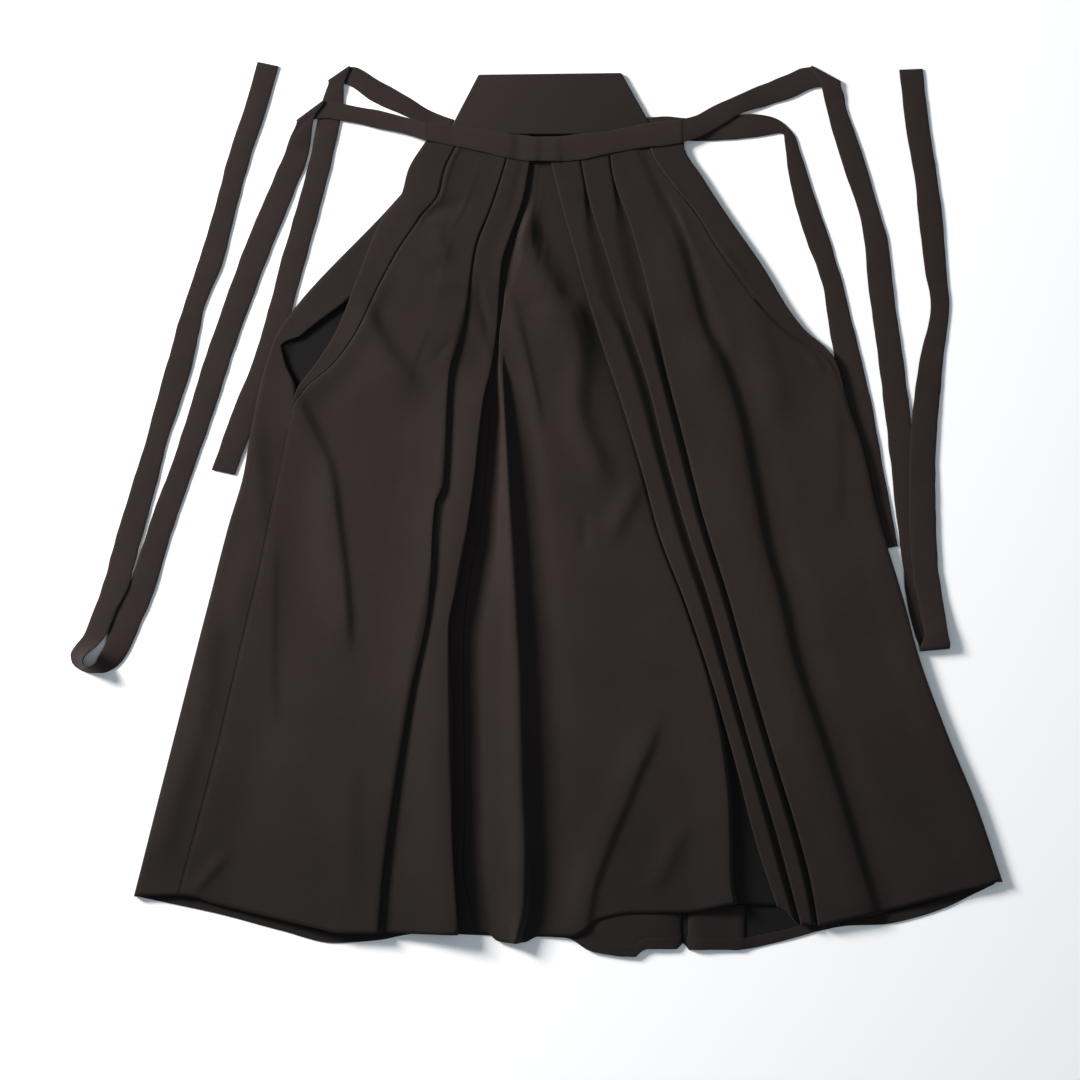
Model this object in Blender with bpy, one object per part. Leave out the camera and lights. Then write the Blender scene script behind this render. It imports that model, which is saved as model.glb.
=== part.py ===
"""Hakama trousers laid flat on a floor, front up, ties laid out beside them.

Each cloth piece is a wall that follows a folded section. A section is the line that
the cloth takes across the trousers, seen end on, and it changes from waist to hem.
Tables and sizes are in millimetres. x runs to the wearer's left, y up to the waist
and z up from the floor.
"""

import math

import bmesh
import bpy
from mathutils import Vector

MM = 0.001

CLOTH = 1.0  # wall of every cloth panel
TIE = 1.6  # a tie is the cloth folded into a flat band
SEAM = 0.3  # gap left between two pieces sewn together
FLOOR_LAYER = 0.5  # middle of a panel that lies on the floor
REST = TIE / 2  # middle of a tie that lies on the floor
BOARD = 5.0  # koshi-ita, thickness

# Rows of each panel, as fractions from waist to hem. They are close together where
# the side openings end.
ROWS = (
    0.0, 0.05, 0.08, 0.107, 0.16, 0.217, 0.266, 0.2715, 0.3, 0.337,
    0.4, 0.48, 0.56, 0.64, 0.72, 0.8, 0.88, 0.95, 1.0,
)

# Lines on the laid cloth: (y, x) from waist to hem.
LINES = {
    "right_outline": (
        (424, -117), (389, -143), (367, -151), (355, -161), (228, -279), (198, -299),
        (92, -327), (39, -336), (-18, -353), (-103, -375), (-220, -405), (-445, -462),
    ),
    "right_back_edge": (
        (424, -93), (335, -143), (239, -217), (195, -273), (191, -293), (135, -275),
        (79, -285), (10, -299), (-70, -315), (-162, -337), (-266, -361), (-444, -408),
    ),
    "right_side_fold": (
        (429, -122), (389, -147), (360, -155), (335, -176), (266, -205), (207, -228),
        (169, -251), (135, -275), (79, -285), (10, -299), (-70, -315), (-162, -337),
        (-266, -361), (-444, -408),
    ),
    "right_outer_pleat": (
        (429, -30), (416, -32), (348, -52), (301, -70), (205, -84), (158, -99),
        (29, -106), (6, -115), (-105, -122), (-220, -145), (-407, -174), (-485, -181),
    ),
    "right_inner_pleat": (
        (412, -5), (339, -23), (297, -40), (205, -45), (169, -50), (125, -60),
        (31, -72), (-74, -89), (-140, -102), (-243, -98), (-351, -98), (-489, -90),
    ),
    "centre_front": (
        (412, -2.5), (339, -20.5), (298, -31), (259, -39), (205, -42), (158, -47.5),
        (125, -52), (-15, -63), (-74, -76), (-156, -84), (-351, -81), (-490, -68),
    ),
    "left_gap_edge": (
        (412, 0), (339, -18), (283, -24), (259, -35), (205, -38.5), (158, -44), (31, -44),
        (-15, -47), (-74, -59), (-156, -67), (-351, -64), (-490, -46),
    ),
    "left_ridge": (
        (412, 2), (306, -9), (240, -33), (125, -39), (31, -34), (-109, -41),
        (-351, -37), (-454, -34), (-497, -29),
    ),
    "left_ridge_side": (
        (412, 4.5), (306, -6), (240, -28.5), (189, -31), (125, -30), (31, -26),
        (-109, -18), (-351, -14), (-498, -12),
    ),
    "left_trough": (
        (412, 7), (306, -2), (247, -23), (189, -26), (125, -21), (31, -14), (-109, -2),
        (-204, 2), (-493, -1),
    ),
    "left_trough_side": (
        (412, 9), (125, -12), (31, -1), (-109, 13), (-204, 20), (-351, 20), (-491, 10),
    ),
    "centre_panel_edge": (
        (412, 12.5), (369, 20.5), (301, 39.5), (200, 68.5), (125, 93.5), (39, 119.5),
        (-28, 137.5), (-109, 168.5), (-208, 200), (-271, 214), (-347, 224), (-453, 228),
    ),
    "left_inner_pleat": (
        (412, 14), (369, 24), (301, 43), (200, 72), (125, 97), (39, 123), (-28, 141),
        (-109, 172), (-205, 204), (-289, 228), (-385, 253), (-457, 277),
    ),
    "left_middle_pleat": (
        (415, 49), (358, 60), (297, 79), (214, 105), (144, 128), (56, 150), (-21, 172),
        (-105, 199), (-205, 227), (-289, 251), (-376, 277), (-477, 304),
    ),
    "left_outer_pleat": (
        (421, 84), (391, 87), (320, 110), (240, 131), (152, 151), (79, 170), (-5, 191),
        (-105, 222), (-181, 243), (-289, 275), (-370, 298), (-478, 322),
    ),
    "left_panel_trough": (
        (432, 112), (376, 140), (319, 168), (271, 179), (213, 193), (94, 235),
        (-21, 268), (-169, 308), (-278, 344), (-463, 405),
    ),
    "left_outline": (
        (432, 170), (419, 170), (378, 193), (332, 223), (285, 256), (205, 309),
        (185, 333), (172, 344), (122, 358), (71, 375), (-3, 392), (-110, 424),
        (-163, 438), (-267, 476), (-337, 505), (-428, 536),
    ),
    "centre_back": ((430, 25), (-501, 169)),
}

# Top and bottom edges of the panels: (x, y).
FRONT_WAIST = (
    (-122, 429), (-85, 428), (-32, 416), (-5, 412), (14, 412), (49, 415), (84, 421),
    (131, 429), (170, 429),
)
FRONT_HEM = (
    (-408, -444), (-334, -463), (-275, -477), (-208, -486), (-181, -487), (-68, -488),
    (-46, -496), (-29, -498), (-12, -498), (3, -491), (40, -491), (62, -478),
    (83, -466), (172, -463), (212, -461), (228, -453), (277, -457), (304, -477),
    (322, -478), (371, -468), (423, -459), (486, -439), (536, -428),
)
BACK_WAIST = ((-117, 424), (-102, 429.7), (138, 429.7), (143, 424), (166.5, 419))
BACK_HEM = (
    (-462, -445), (-366, -465), (-291, -485), (-232, -499), (-183, -496), (-131, -488),
    (-7, -492), (34, -493), (64, -509), (116, -515), (123, -506), (162, -506),
    (169, -499), (176, -507), (229, -507), (275, -499), (362, -479), (396, -478),
    (437, -470), (470, -459), (511, -439), (536, -428),
)

# Widths and heights that change down the trousers: (fraction from the waist, mm).
RIGHT_STRIP_WIDTH = (
    (0, 37), (0.05, 42), (0.107, 43), (0.16, 33), (0.217, 26), (0.2715, 23), (0.3, 20),
    (0.337, 7), (0.4, 5), (1, 5),
)
LEFT_STRIP_WIDTH = (
    (0, 39), (0.05, 41), (0.107, 34), (0.16, 37), (0.217, 30), (0.266, 20),
    (0.2715, 19), (0.3, 7), (0.337, 5), (1, 5),
)
# Height of the back strip that wraps over the side, and of the front panel's side.
RIGHT_WRAP = (
    (0, 2.9), (0.16, 2.9), (0.217, 4.3), (0.2715, 4.6), (0.3, 5.6), (0.337, 6.5), (1, 6.5),
)
RIGHT_SIDE = (
    (0, 4.5), (0.16, 4.5), (0.217, 6.0), (0.3, 6.4), (0.337, 6.5), (1, 6.5),
)
LEFT_WRAP = ((0, 2.9), (0.2715, 2.9), (0.3, 4.3), (0.337, 6.5), (1, 6.5))
LEFT_SIDE = ((0, 4.5), (0.2715, 4.5), (0.3, 6.0), (0.337, 6.5), (1, 6.5))
# The back rises over a tie that passes beneath its side.
RIGHT_LIFT = ((0, 0), (0.16, 0), (0.217, 2.0), (0.4, 2.0), (0.48, 0), (1, 0))
LEFT_LIFT = ((0, 0), (0.2715, 0), (0.3, 2.0), (0.56, 2.0), (0.64, 0), (1, 0))
# How far the left leg's outline leaves its front fold, its back fold and its seam.
LEFT_FRONT_INSET = ((0, 0), (0.2715, 0), (0.3, 14), (1, 14))
LEFT_BACK_INSET = ((0, 3.5), (0.266, 3.5), (0.2715, 0), (1, 0))
LEFT_WRAP_INSET = ((0, 15.5), (0.2715, 15.5), (0.3, 13.7), (1, 13.7))

STRIP_LIFT = 1.6  # a sasahida strip above the panel that it is turned over
RIGHT_PITCH = ((0, 1.6), (0.3, 2.3), (1, 2.4))  # one layer of a pleat to the next
LEFT_PITCH = ((0, 1.6), (0.3, 2.7), (1, 3.0))
FRONT_BASE = 1.8  # lowest layer of the front, over the back
LEFT_BASE = 2.1
RIGHT_PLEAT_DEPTH = ((0, 24), (0.3, 40), (1, 45))
LEFT_PLEAT_SHARE = 0.55  # depth of a left pleat, as a share of the strip beside it
OUTER_PLEAT_DEPTH = ((0, 14), (0.16, 20), (0.3, 25), (1, 25))
DESCENT = 0.62  # share of a strip that stays up before it goes under the next pleat
SIDE_SEAM_START = 0.33  # fraction from the waist where the side seam begins
STRIP_CLEAR = 1.0  # from a side strip's edge to where its panel leaves it
VALLEY_CLEAR = 2.0  # from the right outer pleat's valley to where its panel is up
NOSE_CLEAR = 1.0  # from a left pleat's nose to where the strip before it is down
NOSE_RISE = 0.3  # height of that strip there, over the lowest layer
EDGE_WIDTH = 3.5  # over which the centre panel drops to the lowest layer
GAP_FOOT = (-1.2, 0.1)  # x from the gap's edge and height over the lowest layer

# Heights of the soft folds in the wide panels: fraction from the waist, then the
# height at each column, in order across the panel.
RIGHT_PANEL_SHARES = (0.25, 0.5, 0.75, 0.95)
RIGHT_PANEL = (
    (0.0, 3.6, 4.0, 5.6, 7.0),
    (0.107, 3.0, 3.8, 3.4, 7.4),
    (0.217, 3.4, 5.4, 3.2, 7.0),
    (0.337, 5.0, 6.6, 3.4, 6.6),
    (0.56, 4.4, 5.4, 3.2, 6.4),
    (0.8, 5.2, 4.4, 3.4, 6.6),
    (1.0, 6.4, 4.6, 3.6, 6.8),
)
# Columns: gap edge, ridge, its side, trough, its side, four across, the right edge.
CENTRE_PANEL_SHARES = (0.16, 0.3, 0.45, 0.75)
CENTRE_PANEL = (
    (0.0, 2.1, 2.6, 2.6, 2.3, 2.2, 2.2, 2.2, 2.2, 2.2, 2.2),
    (0.107, 3.2, 4.8, 4.2, 2.6, 2.6, 3.0, 3.4, 3.2, 2.8, 2.4),
    (0.217, 4.6, 7.4, 6.0, 2.8, 3.2, 4.4, 4.8, 4.0, 3.2, 2.6),
    (0.4, 6.0, 9.0, 8.0, 3.0, 3.8, 5.4, 5.0, 6.0, 4.2, 3.2),
    (0.64, 6.4, 9.6, 8.8, 3.2, 4.0, 5.6, 6.4, 4.6, 6.0, 4.6),
    (0.8, 6.4, 9.8, 9.0, 3.4, 4.2, 6.6, 6.6, 5.0, 5.8, 6.6),
    (1.0, 6.6, 10.0, 9.2, 3.6, 4.4, 6.0, 7.0, 5.0, 5.0, 6.8),
)
# Columns: two before the trough, the trough, two after it, the dip by the strip.
OUTER_PANEL_SHARES = (0.45, 0.75, 1.0)
SIDE_PANEL_SHARES = (0.3, 0.7, 0.93)
OUTER_PANEL = (
    (0.0, 5.3, 5.2, 4.8, 4.6, 4.4, 4.0),
    (0.107, 6.0, 5.0, 3.2, 5.0, 5.2, 3.4),
    (0.217, 6.8, 5.6, 3.0, 5.6, 6.0, 3.8),
    (0.337, 7.5, 6.0, 3.0, 6.0, 6.6, 5.2),
    (0.64, 7.9, 6.4, 3.2, 6.2, 6.4, 5.0),
    (1.0, 8.1, 6.6, 3.4, 5.8, 6.6, 5.4),
)

# Columns of the back between its side and the centre seam, as shares of the way.
RIGHT_BACK_SHARES = (
    0.12, 0.24, 0.34, 0.42, 0.5, 0.64, 0.78, 0.83, 0.91, 0.925, 0.988, 1.0,
)
LEFT_BACK_SHARES = (0.0, 0.02, 0.18, 0.32, 0.46, 0.58, 0.68, 0.8, 0.9)
RIGHT_LIFT_REACH = (12, 24)  # from the side: still lifted, back on the floor
LEFT_LIFT_REACH = (20, 32)

# Koshi-ita: (x, y) of its corners.
BOARD_CORNERS = ((-102, 430), (138, 430), (98, 501), (-66, 499))
BOARD_EDGE = 1.2  # rounding of its edges

# Bands: one row for each place along the band, lower or first edge, other edge, and
# the height of each: x, y, x, y, z, z.
BAND = (
    (-124, 422, -124, 443, 7.9, 7.4),
    (-93, 416, -93, 439, 8.0, 7.5),
    (-59, 409, -56, 435, 10.0, 9.7),
    (-30, 402, -28, 429, 10.0, 9.7),
    (-5, 399, 2, 423, 9.9, 9.2),
    (29, 399, 28, 425, 7.8, 7.0),
    (54, 401, 54, 430, 7.5, 6.9),
    (77, 406, 79, 433, 7.5, 7.0),
    (102, 411, 103, 438, 7.7, 7.2),
    (129, 415, 128, 443, 7.9, 7.4),
    (148, 417, 150, 445, 7.9, 7.4),
    (168, 420, 168, 447, 7.9, 7.4),
)
# A row of 8 values is a flat fold: edge, edge, the way out from the fold (x, y), the
# height below and the height above.
FRONT_TIE_RIGHT = (
    (-124.3, 422, -124.3, 443, 7.9, 7.4),
    (-156, 432, -154, 451, 4.4, 3.8),
    (-189, 439, -187, 459, 2.8, 2.8),
    (-222, 446, -220, 465, 2.7, 2.7),
    (-241, 449, -233, 467, 2.7, 2.7),
    (-275, 446, -244, 469, -0.6, 0.8, 2.7, 4.7),
    (-283, 427, -254, 451, 1.8, 4.6),
    (-290, 407, -260, 413, REST, REST),
    (-307, 367, -277, 367, REST, REST),
    (-336, 298, -305, 298, REST, REST),
    (-361, 229, -331, 229, REST, REST),
    (-381, 171, -352, 171, REST, REST),
    (-398, 116, -369, 116, REST, REST),
    (-421, 45, -394, 45, REST, REST),
    (-439, -1, -410, -1, REST, REST),
    (-454, -47, -425, -47, REST, REST),
    (-466, -82, -435, -82, REST, REST),
    (-477, -105, -443, -105, REST, REST),
    (-490, -135, -455, -133, REST, REST),
    (-497, -160, -472, -169, 4.0, REST),
    (-502, -169, -486, -184, 11.0, REST),
    (-505, -177, -498, -188, 19.0, REST),
    (-512, -181, -511, -188, 22.0, REST),
    (-518, -178, -525, -184, 19.0, REST),
    (-519, -173, -533, -177, 15.0, REST),
    (-515, -166, -535, -168, 10.0, REST),
    (-505, -158, -530, -158, 6.0, REST),
    (-495, -147, -520, -145, 3.4, REST),
    (-483, -117, -509, -118, 2.8, 1.4),
    (-471, -95, -500, -95, 2.8, 1.4),
    (-455, -40, -485, -40, REST, REST),
    (-438, 22, -466, 22, REST, REST),
    (-422, 84, -447, 84, REST, REST),
    (-408, 125, -436, 125, REST, REST),
    (-394, 171, -423, 171, REST, REST),
    (-382, 228, -407, 228, REST, REST),
    (-360, 284, -388, 284, REST, REST),
    (-346, 340, -371, 340, REST, REST),
    (-327, 408, -353, 408, REST, REST),
    (-309, 462, -335, 462, REST, REST),
    (-296, 509, -320, 514, REST, REST),
)
FRONT_TIE_LEFT = (
    (168.3, 420, 168.3, 447, 7.9, 7.4),
    (190, 428, 182, 451, 5.0, 5.0),
    (212, 440, 202, 462, 3.2, 3.2),
    (237, 455, 229, 474, 2.6, 2.6),
    (271, 465, 263, 489, REST, REST),
    (298, 474, 290, 500, REST, REST),
    (317, 483, 306, 507, REST, REST),
    (350, 491, 317, 509, 0.48, 0.88, REST, 2.8),
    (354, 476, 327, 489, 1.4, 2.9),
    (355, 466, 333, 466, REST, 1.2),
    (361, 448, 337, 448, REST, REST),
    (375, 408, 349, 408, REST, REST),
    (385, 375, 359, 377, REST, REST),
    (397, 334, 373, 334, REST, REST),
    (405, 305, 378, 304, REST, REST),
    (410, 258, 382, 258, REST, REST),
    (422, 171, 394, 171, REST, REST),
    (436, 59, 407, 59, REST, REST),
    (443, -13, 415, -13, REST, REST),
    (451, -59, 421, -59, REST, REST),
    (458, -110, 427, -110, REST, REST),
    (468, -145, 436, -145, REST, REST),
    (475, -160, 441, -163, 0.0, -1.0, REST, 8.0),
    (473, -146, 446, -146, 8.0, 8.0),
    (470, -123, 442, -123, 5.0, 5.0),
    (462, -66, 432, -66, 2.8, 2.8),
    (459, -3, 429, -3, 2.4, 2.8),
    (459, 47, 429, 47, 2.0, 2.8),
    (461, 99, 432, 99, 1.6, 2.8),
    (465, 137, 436, 137, 1.0, 1.6),
    (468, 171, 441, 171, REST, REST),
    (475, 235, 454, 235, REST, REST),
    (472, 270, 448, 270, REST, REST),
    (469, 315, 442, 315, REST, REST),
    (462, 375, 436, 375, REST, REST),
    (452, 440, 425, 440, REST, REST),
    (444, 506, 418, 505, REST, REST),
)
BACK_TIE_RIGHT = (
    (-101.9, 431, -93.8, 447, 2.5, 2.5),
    (-128, 442, -120, 457, REST, REST),
    (-156, 454, -151, 476, REST, REST),
    (-189, 469, -182, 493, REST, REST),
    (-222, 489, -208, 508, REST, REST),
    (-239, 492, -214, 509, -0.56, 0.83, REST, 2.8),
    (-241, 482, -221, 486, 1.4, 2.9),
    (-245, 471, -221, 472, REST, REST),
    (-251, 446, -225, 446, REST, REST),
    (-261, 399, -235, 399, REST, REST),
    (-277, 340, -250, 340, REST, REST),
    (-294, 282, -266, 282, REST, REST),
    (-306, 235, -279, 235, REST, REST),
    (-325, 171, -299, 171, REST, REST),
    (-348, 114, -320, 114, REST, REST),
    (-361, 79, -331, 79, REST, REST),
    (-373, 45, -346, 39, REST, REST),
)
BACK_TIE_LEFT = (
    (137.2, 432, 127.1, 450, 2.5, 2.5),
    (156, 427, 152, 451, 1.2, 1.2),
    (183, 423, 179, 449, REST, REST),
    (214, 424, 212, 451, REST, REST),
    (248, 427, 248, 454, REST, REST),
    (269, 430, 267, 452, REST, REST),
    (281, 432, 278, 448, REST, REST),
    (285, 430, 290, 438, REST, REST),
    (286, 423, 298, 428, REST, REST),
    (287, 413, 302, 416, REST, REST),
    (289, 394, 308, 398, REST, REST),
    (298, 352, 322, 353, REST, REST),
    (312, 305, 339, 306, REST, REST),
    (325, 272, 348, 274, REST, REST),
    (330, 255, 354, 255, REST, REST),
    (335, 223, 361, 223, REST, REST),
    (343, 176, 373, 176, REST, REST),
    (359, 109, 388, 109, REST, REST),
    (369, 59, 397, 59, REST, REST),
    (379, 12, 406, 12, REST, REST),
    (391, -48, 416, -43, REST, REST),
)

FLAT_FOLD_VALUES = 8  # in the row of a flat fold
FOLD_ANGLES = (-90, -45, 0, 45, 90)
MOST_MITRE = 1.5  # times half the wall, at a sharp turn of a section
ROUGHNESS = 0.85  # matt cloth
BLACK_CLOTH = (0.035, 0.030, 0.029, 1.0)
BLACK_TIE = (0.040, 0.034, 0.033, 1.0)
BLACK_BOARD = (0.030, 0.026, 0.026, 1.0)


def mix(a, b, share):
    return a + (b - a) * share


def level(table, key):
    """The second value of the table at the key, straight between its rows."""
    if key <= table[0][0]:
        return table[0][1]
    for (k0, a), (k1, b) in zip(table, table[1:]):
        if key <= k1:
            return mix(a, b, (key - k0) / (k1 - k0))
    return table[-1][1]


def levels(table, key):
    """All the columns of the table at the key."""
    return [
        level([(row[0], row[i]) for row in table], key)
        for i in range(1, len(table[0]))
    ]


def across(line, y):
    """x of the line at the height y of the laid cloth."""
    return level([(-row_y, x) for row_y, x in LINES[line]], -y)


def between(first, second, share, v):
    """(x, y) of a column of the front, its share of the way from line to line."""
    x_top = mix(LINES[first][0][1], LINES[second][0][1], share)
    x_low = mix(LINES[first][-1][1], LINES[second][-1][1], share)
    y = mix(level(FRONT_WAIST, x_top), level(FRONT_HEM, x_low), v)
    return mix(across(first, y), across(second, y), share), y


def front(line, v):
    return between(line, line, 0, v)


def turn(x, y, start, end, side):
    """A fold seen end on: its nose reaches x, to the right for side 1, left for -1."""
    radius = abs(end - start) / 2
    middle = (start + end) / 2
    rise = 1 if end > start else -1
    centre = x - side * (radius + CLOTH / 2)
    points = []
    for degrees in FOLD_ANGLES:
        angle = math.radians(degrees)
        across_fold = centre + side * radius * math.cos(angle)
        points.append((across_fold, y, middle + rise * radius * math.sin(angle)))
    return points


def back_column(outer, shift, share, v):
    """(x, y) of a column of the back, its share of the way from the side to the seam.

    The shift moves the side inwards, towards the seam.
    """
    ends = []
    for i in (0, -1):
        ends.append(mix(LINES[outer][i][1] + shift, LINES["centre_back"][i][1], share))
    y = mix(level(BACK_WAIST, ends[0]), level(BACK_HEM, ends[1]), v)
    return mix(across(outer, y) + shift, across("centre_back", y), share), y


def right_back(v):
    """From the edge of the wrap, round the side fold, across the floor to the seam."""
    lift = level(RIGHT_LIFT, v)
    wrap = level(RIGHT_WRAP, v)
    side_x, side_y = back_column("right_outline", 0, 0, v)
    edge = LINES["right_back_edge"]
    edge_y = mix(edge[0][0], edge[-1][0], v)
    edge_x = across("right_back_edge", edge_y)
    points = [
        (edge_x, edge_y, wrap),
        ((edge_x + side_x) / 2, (edge_y + side_y) / 2, wrap),
    ]
    points += turn(side_x, side_y, wrap, FLOOR_LAYER + lift, -1)
    lifted, landed = RIGHT_LIFT_REACH
    x, y = back_column("right_outline", lifted, 0, v)
    points.append((x, y, FLOOR_LAYER + lift))
    for share in (0.0, *RIGHT_BACK_SHARES):
        x, y = back_column("right_outline", landed, share, v)
        points.append((x - (SEAM / 2 if share == 1 else 0), y, FLOOR_LAYER))
    return points


def left_back(v):
    """From the seam across the floor, round the side fold, to the edge of the wrap."""
    lift = level(LEFT_LIFT, v)
    wrap = level(LEFT_WRAP, v)
    inset = level(LEFT_BACK_INSET, v)
    lifted, landed = LEFT_LIFT_REACH
    points = []
    for share in (*LEFT_BACK_SHARES, 1.0):
        x, y = back_column("left_outline", -inset - landed, 1 - share, v)
        points.append((x + (SEAM / 2 if share == 0 else 0), y, FLOOR_LAYER))
    x, y = back_column("left_outline", -inset - lifted, 0, v)
    points.append((x, y, FLOOR_LAYER + lift))
    side_x, side_y = back_column("left_outline", -inset, 0, v)
    points += turn(side_x, side_y, FLOOR_LAYER + lift, wrap, 1)
    edge_x, _ = back_column("left_outline", -level(LEFT_WRAP_INSET, v), 0, v)
    points.append((edge_x, side_y, wrap))
    return points


def right_front(v):
    """From the side strip, round the side fold, over two pleats to the centre."""
    side = level(RIGHT_SIDE, v)
    pitch = level(RIGHT_PITCH, v)
    depth = level(RIGHT_PLEAT_DEPTH, v)
    layer = [FRONT_BASE + pitch * i for i in range(5)]
    fold_x, fold_y = front("right_side_fold", v)
    if v > SIDE_SEAM_START:
        fold_x += SEAM
    strip_x = fold_x + level(RIGHT_STRIP_WIDTH, v)
    outer_x, outer_y = front("right_outer_pleat", v)
    inner_x, inner_y = front("right_inner_pleat", v)
    seam_x, seam_y = front("centre_front", v)
    points = [(strip_x, fold_y, side + STRIP_LIFT)]
    points += turn(fold_x, fold_y, side + STRIP_LIFT, side, -1)
    points.append((strip_x - STRIP_CLEAR, fold_y, side))
    valley_x = outer_x - depth
    for share, height in zip(RIGHT_PANEL_SHARES, levels(RIGHT_PANEL, v)):
        x = mix(strip_x, valley_x, share)
        y = mix(fold_y, outer_y, share)
        points.append((x, y, height))
    points.append((valley_x + VALLEY_CLEAR, outer_y, layer[4]))
    points += turn(outer_x, outer_y, layer[4], layer[3], 1)
    points += turn(valley_x, outer_y, layer[3], layer[2], -1)
    points += turn(inner_x, inner_y, layer[2], layer[1], 1)
    points += turn(inner_x - depth, inner_y, layer[1], layer[0], -1)
    points.append((seam_x - SEAM / 2, seam_y, layer[0]))
    return points


def pleat(nose_x, y, depth, base, pitch):
    """Under the nose, round the valley, back, and round the nose on to the top."""
    valley = turn(nose_x + depth, y, base, base + pitch, 1)
    nose = turn(nose_x, y, base + pitch, base + 2 * pitch, -1)
    return valley + nose


def left_front(v):
    """From the centre seam, over the ridge and the wide panel, three pleats, the strip."""
    side = level(LEFT_SIDE, v)
    pitch = level(LEFT_PITCH, v)
    top = LEFT_BASE + 2 * pitch
    heights = levels(CENTRE_PANEL, v)
    seam_x, seam_y = front("centre_front", v)
    gap_x, _ = front("left_gap_edge", v)
    points = [
        (seam_x + SEAM / 2, seam_y, FRONT_BASE),
        (gap_x + GAP_FOOT[0], seam_y, FRONT_BASE + GAP_FOOT[1]),
    ]
    names = (
        "left_gap_edge", "left_ridge", "left_ridge_side", "left_trough", "left_trough_side",
    )
    for name, height in zip(names, heights):
        x, y = front(name, v)
        points.append((x, y, height))
    for share, height in zip(CENTRE_PANEL_SHARES, heights[5:9]):
        x, y = between("left_trough_side", "centre_panel_edge", share, v)
        points.append((x, y, height))
    x, y = front("centre_panel_edge", v)
    points.append((x, y, heights[9]))
    points.append((x + EDGE_WIDTH, y, LEFT_BASE))

    noses = ("left_inner_pleat", "left_middle_pleat", "left_outer_pleat")
    places = [front(name, v) for name in noses]
    for (x, y), (next_x, next_y) in zip(places, places[1:]):
        width = next_x - x
        points += pleat(x, y, LEFT_PLEAT_SHARE * width, LEFT_BASE, pitch)
        points.append((x + DESCENT * width, mix(y, next_y, DESCENT), top))
        points.append((next_x - NOSE_CLEAR, next_y, LEFT_BASE + NOSE_RISE))
    x, y = places[-1]
    points += pleat(x, y, level(OUTER_PLEAT_DEPTH, v), LEFT_BASE, pitch)

    fold_y = mix(FRONT_WAIST[-1][1], FRONT_HEM[-1][1], v)
    fold_x = across("left_outline", fold_y) - level(LEFT_FRONT_INSET, v)
    strip_x = fold_x - level(LEFT_STRIP_WIDTH, v)
    trough_x, trough_y = front("left_panel_trough", v)
    panel = levels(OUTER_PANEL, v)
    for share, height in zip(OUTER_PANEL_SHARES, panel):
        points.append((mix(x, trough_x, share), mix(y, trough_y, share), height))
    for share, height in zip(SIDE_PANEL_SHARES, panel[len(OUTER_PANEL_SHARES):]):
        column_y = mix(trough_y, fold_y, share)
        points.append((mix(trough_x, strip_x, share), column_y, height))
    points.append((strip_x + STRIP_CLEAR, fold_y, side))
    points += turn(fold_x, fold_y, side, side + STRIP_LIFT, 1)
    points.append((strip_x, fold_y, side + STRIP_LIFT))
    return points


def offsets(points, thickness):
    """Half the wall to either side of each point, square to the section."""
    found = []
    for i, point in enumerate(points):
        normals = []
        for a, b in ((i - 1, i), (i, i + 1)):
            if a < 0 or b >= len(points):
                continue
            dx = points[b][0] - points[a][0]
            dz = points[b][2] - points[a][2]
            length = math.hypot(dx, dz)
            normals.append((-dz / length, dx / length))
        nx = sum(n[0] for n in normals)
        nz = sum(n[1] for n in normals)
        length = math.hypot(nx, nz)
        mitre = min(MOST_MITRE, len(normals) / length)
        scale = mitre * thickness / (2 * length)
        found.append((nx * scale, nz * scale))
    return found


def material(name, colour):
    made = bpy.data.materials.new(name)
    made.use_nodes = True
    shader = made.node_tree.nodes["Principled BSDF"]
    shader.inputs["Base Color"].default_value = colour
    shader.inputs["Roughness"].default_value = ROUGHNESS
    return made


def finish(name, mesh, made_of):
    bmesh.ops.recalc_face_normals(mesh, faces=mesh.faces)
    data = bpy.data.meshes.new(name)
    mesh.to_mesh(data)
    mesh.free()
    data.materials.append(made_of)
    obj = bpy.data.objects.new(name, data)
    bpy.context.scene.collection.objects.link(obj)
    return obj


def wall(name, rings, made_of):
    """A closed solid from rings of points, each joined to the next, ends capped."""
    mesh = bmesh.new()
    made = [[mesh.verts.new(Vector(p) * MM) for p in ring] for ring in rings]
    count = len(made[0])
    for first, second in zip(made, made[1:]):
        for i in range(count):
            j = (i + 1) % count
            mesh.faces.new((first[i], second[i], second[j], first[j]))
    half = count // 2
    for ring in (made[0], made[-1]):
        for i in range(half - 1):
            other = count - 1 - i
            mesh.faces.new((ring[i], ring[i + 1], ring[other - 1], ring[other]))
    return finish(name, mesh, made_of)


def panel(name, section, made_of):
    rings = []
    for v in ROWS:
        points = section(v)
        shifts = offsets(points, CLOTH)
        above = [(x + a, y, z + b) for (x, y, z), (a, b) in zip(points, shifts)]
        below = [(x - a, y, z - b) for (x, y, z), (a, b) in zip(points, shifts)]
        rings.append(above + below[::-1])
    return wall(name, rings, made_of)


def flat_fold(row):
    """Rows round a flat fold, from its lower layer to its upper one."""
    px, py, qx, qy, out_x, out_y, low, high = row
    radius = (high - low) / 2
    rows = []
    for degrees in FOLD_ANGLES:
        angle = math.radians(degrees)
        reach = radius * (math.cos(angle) - 1)
        z = low + radius * (1 + math.sin(angle))
        shift = Vector((out_x * reach, out_y * reach, z))
        rows.append((Vector((px, py, 0)) + shift, Vector((qx, qy, 0)) + shift))
    return rows


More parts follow.
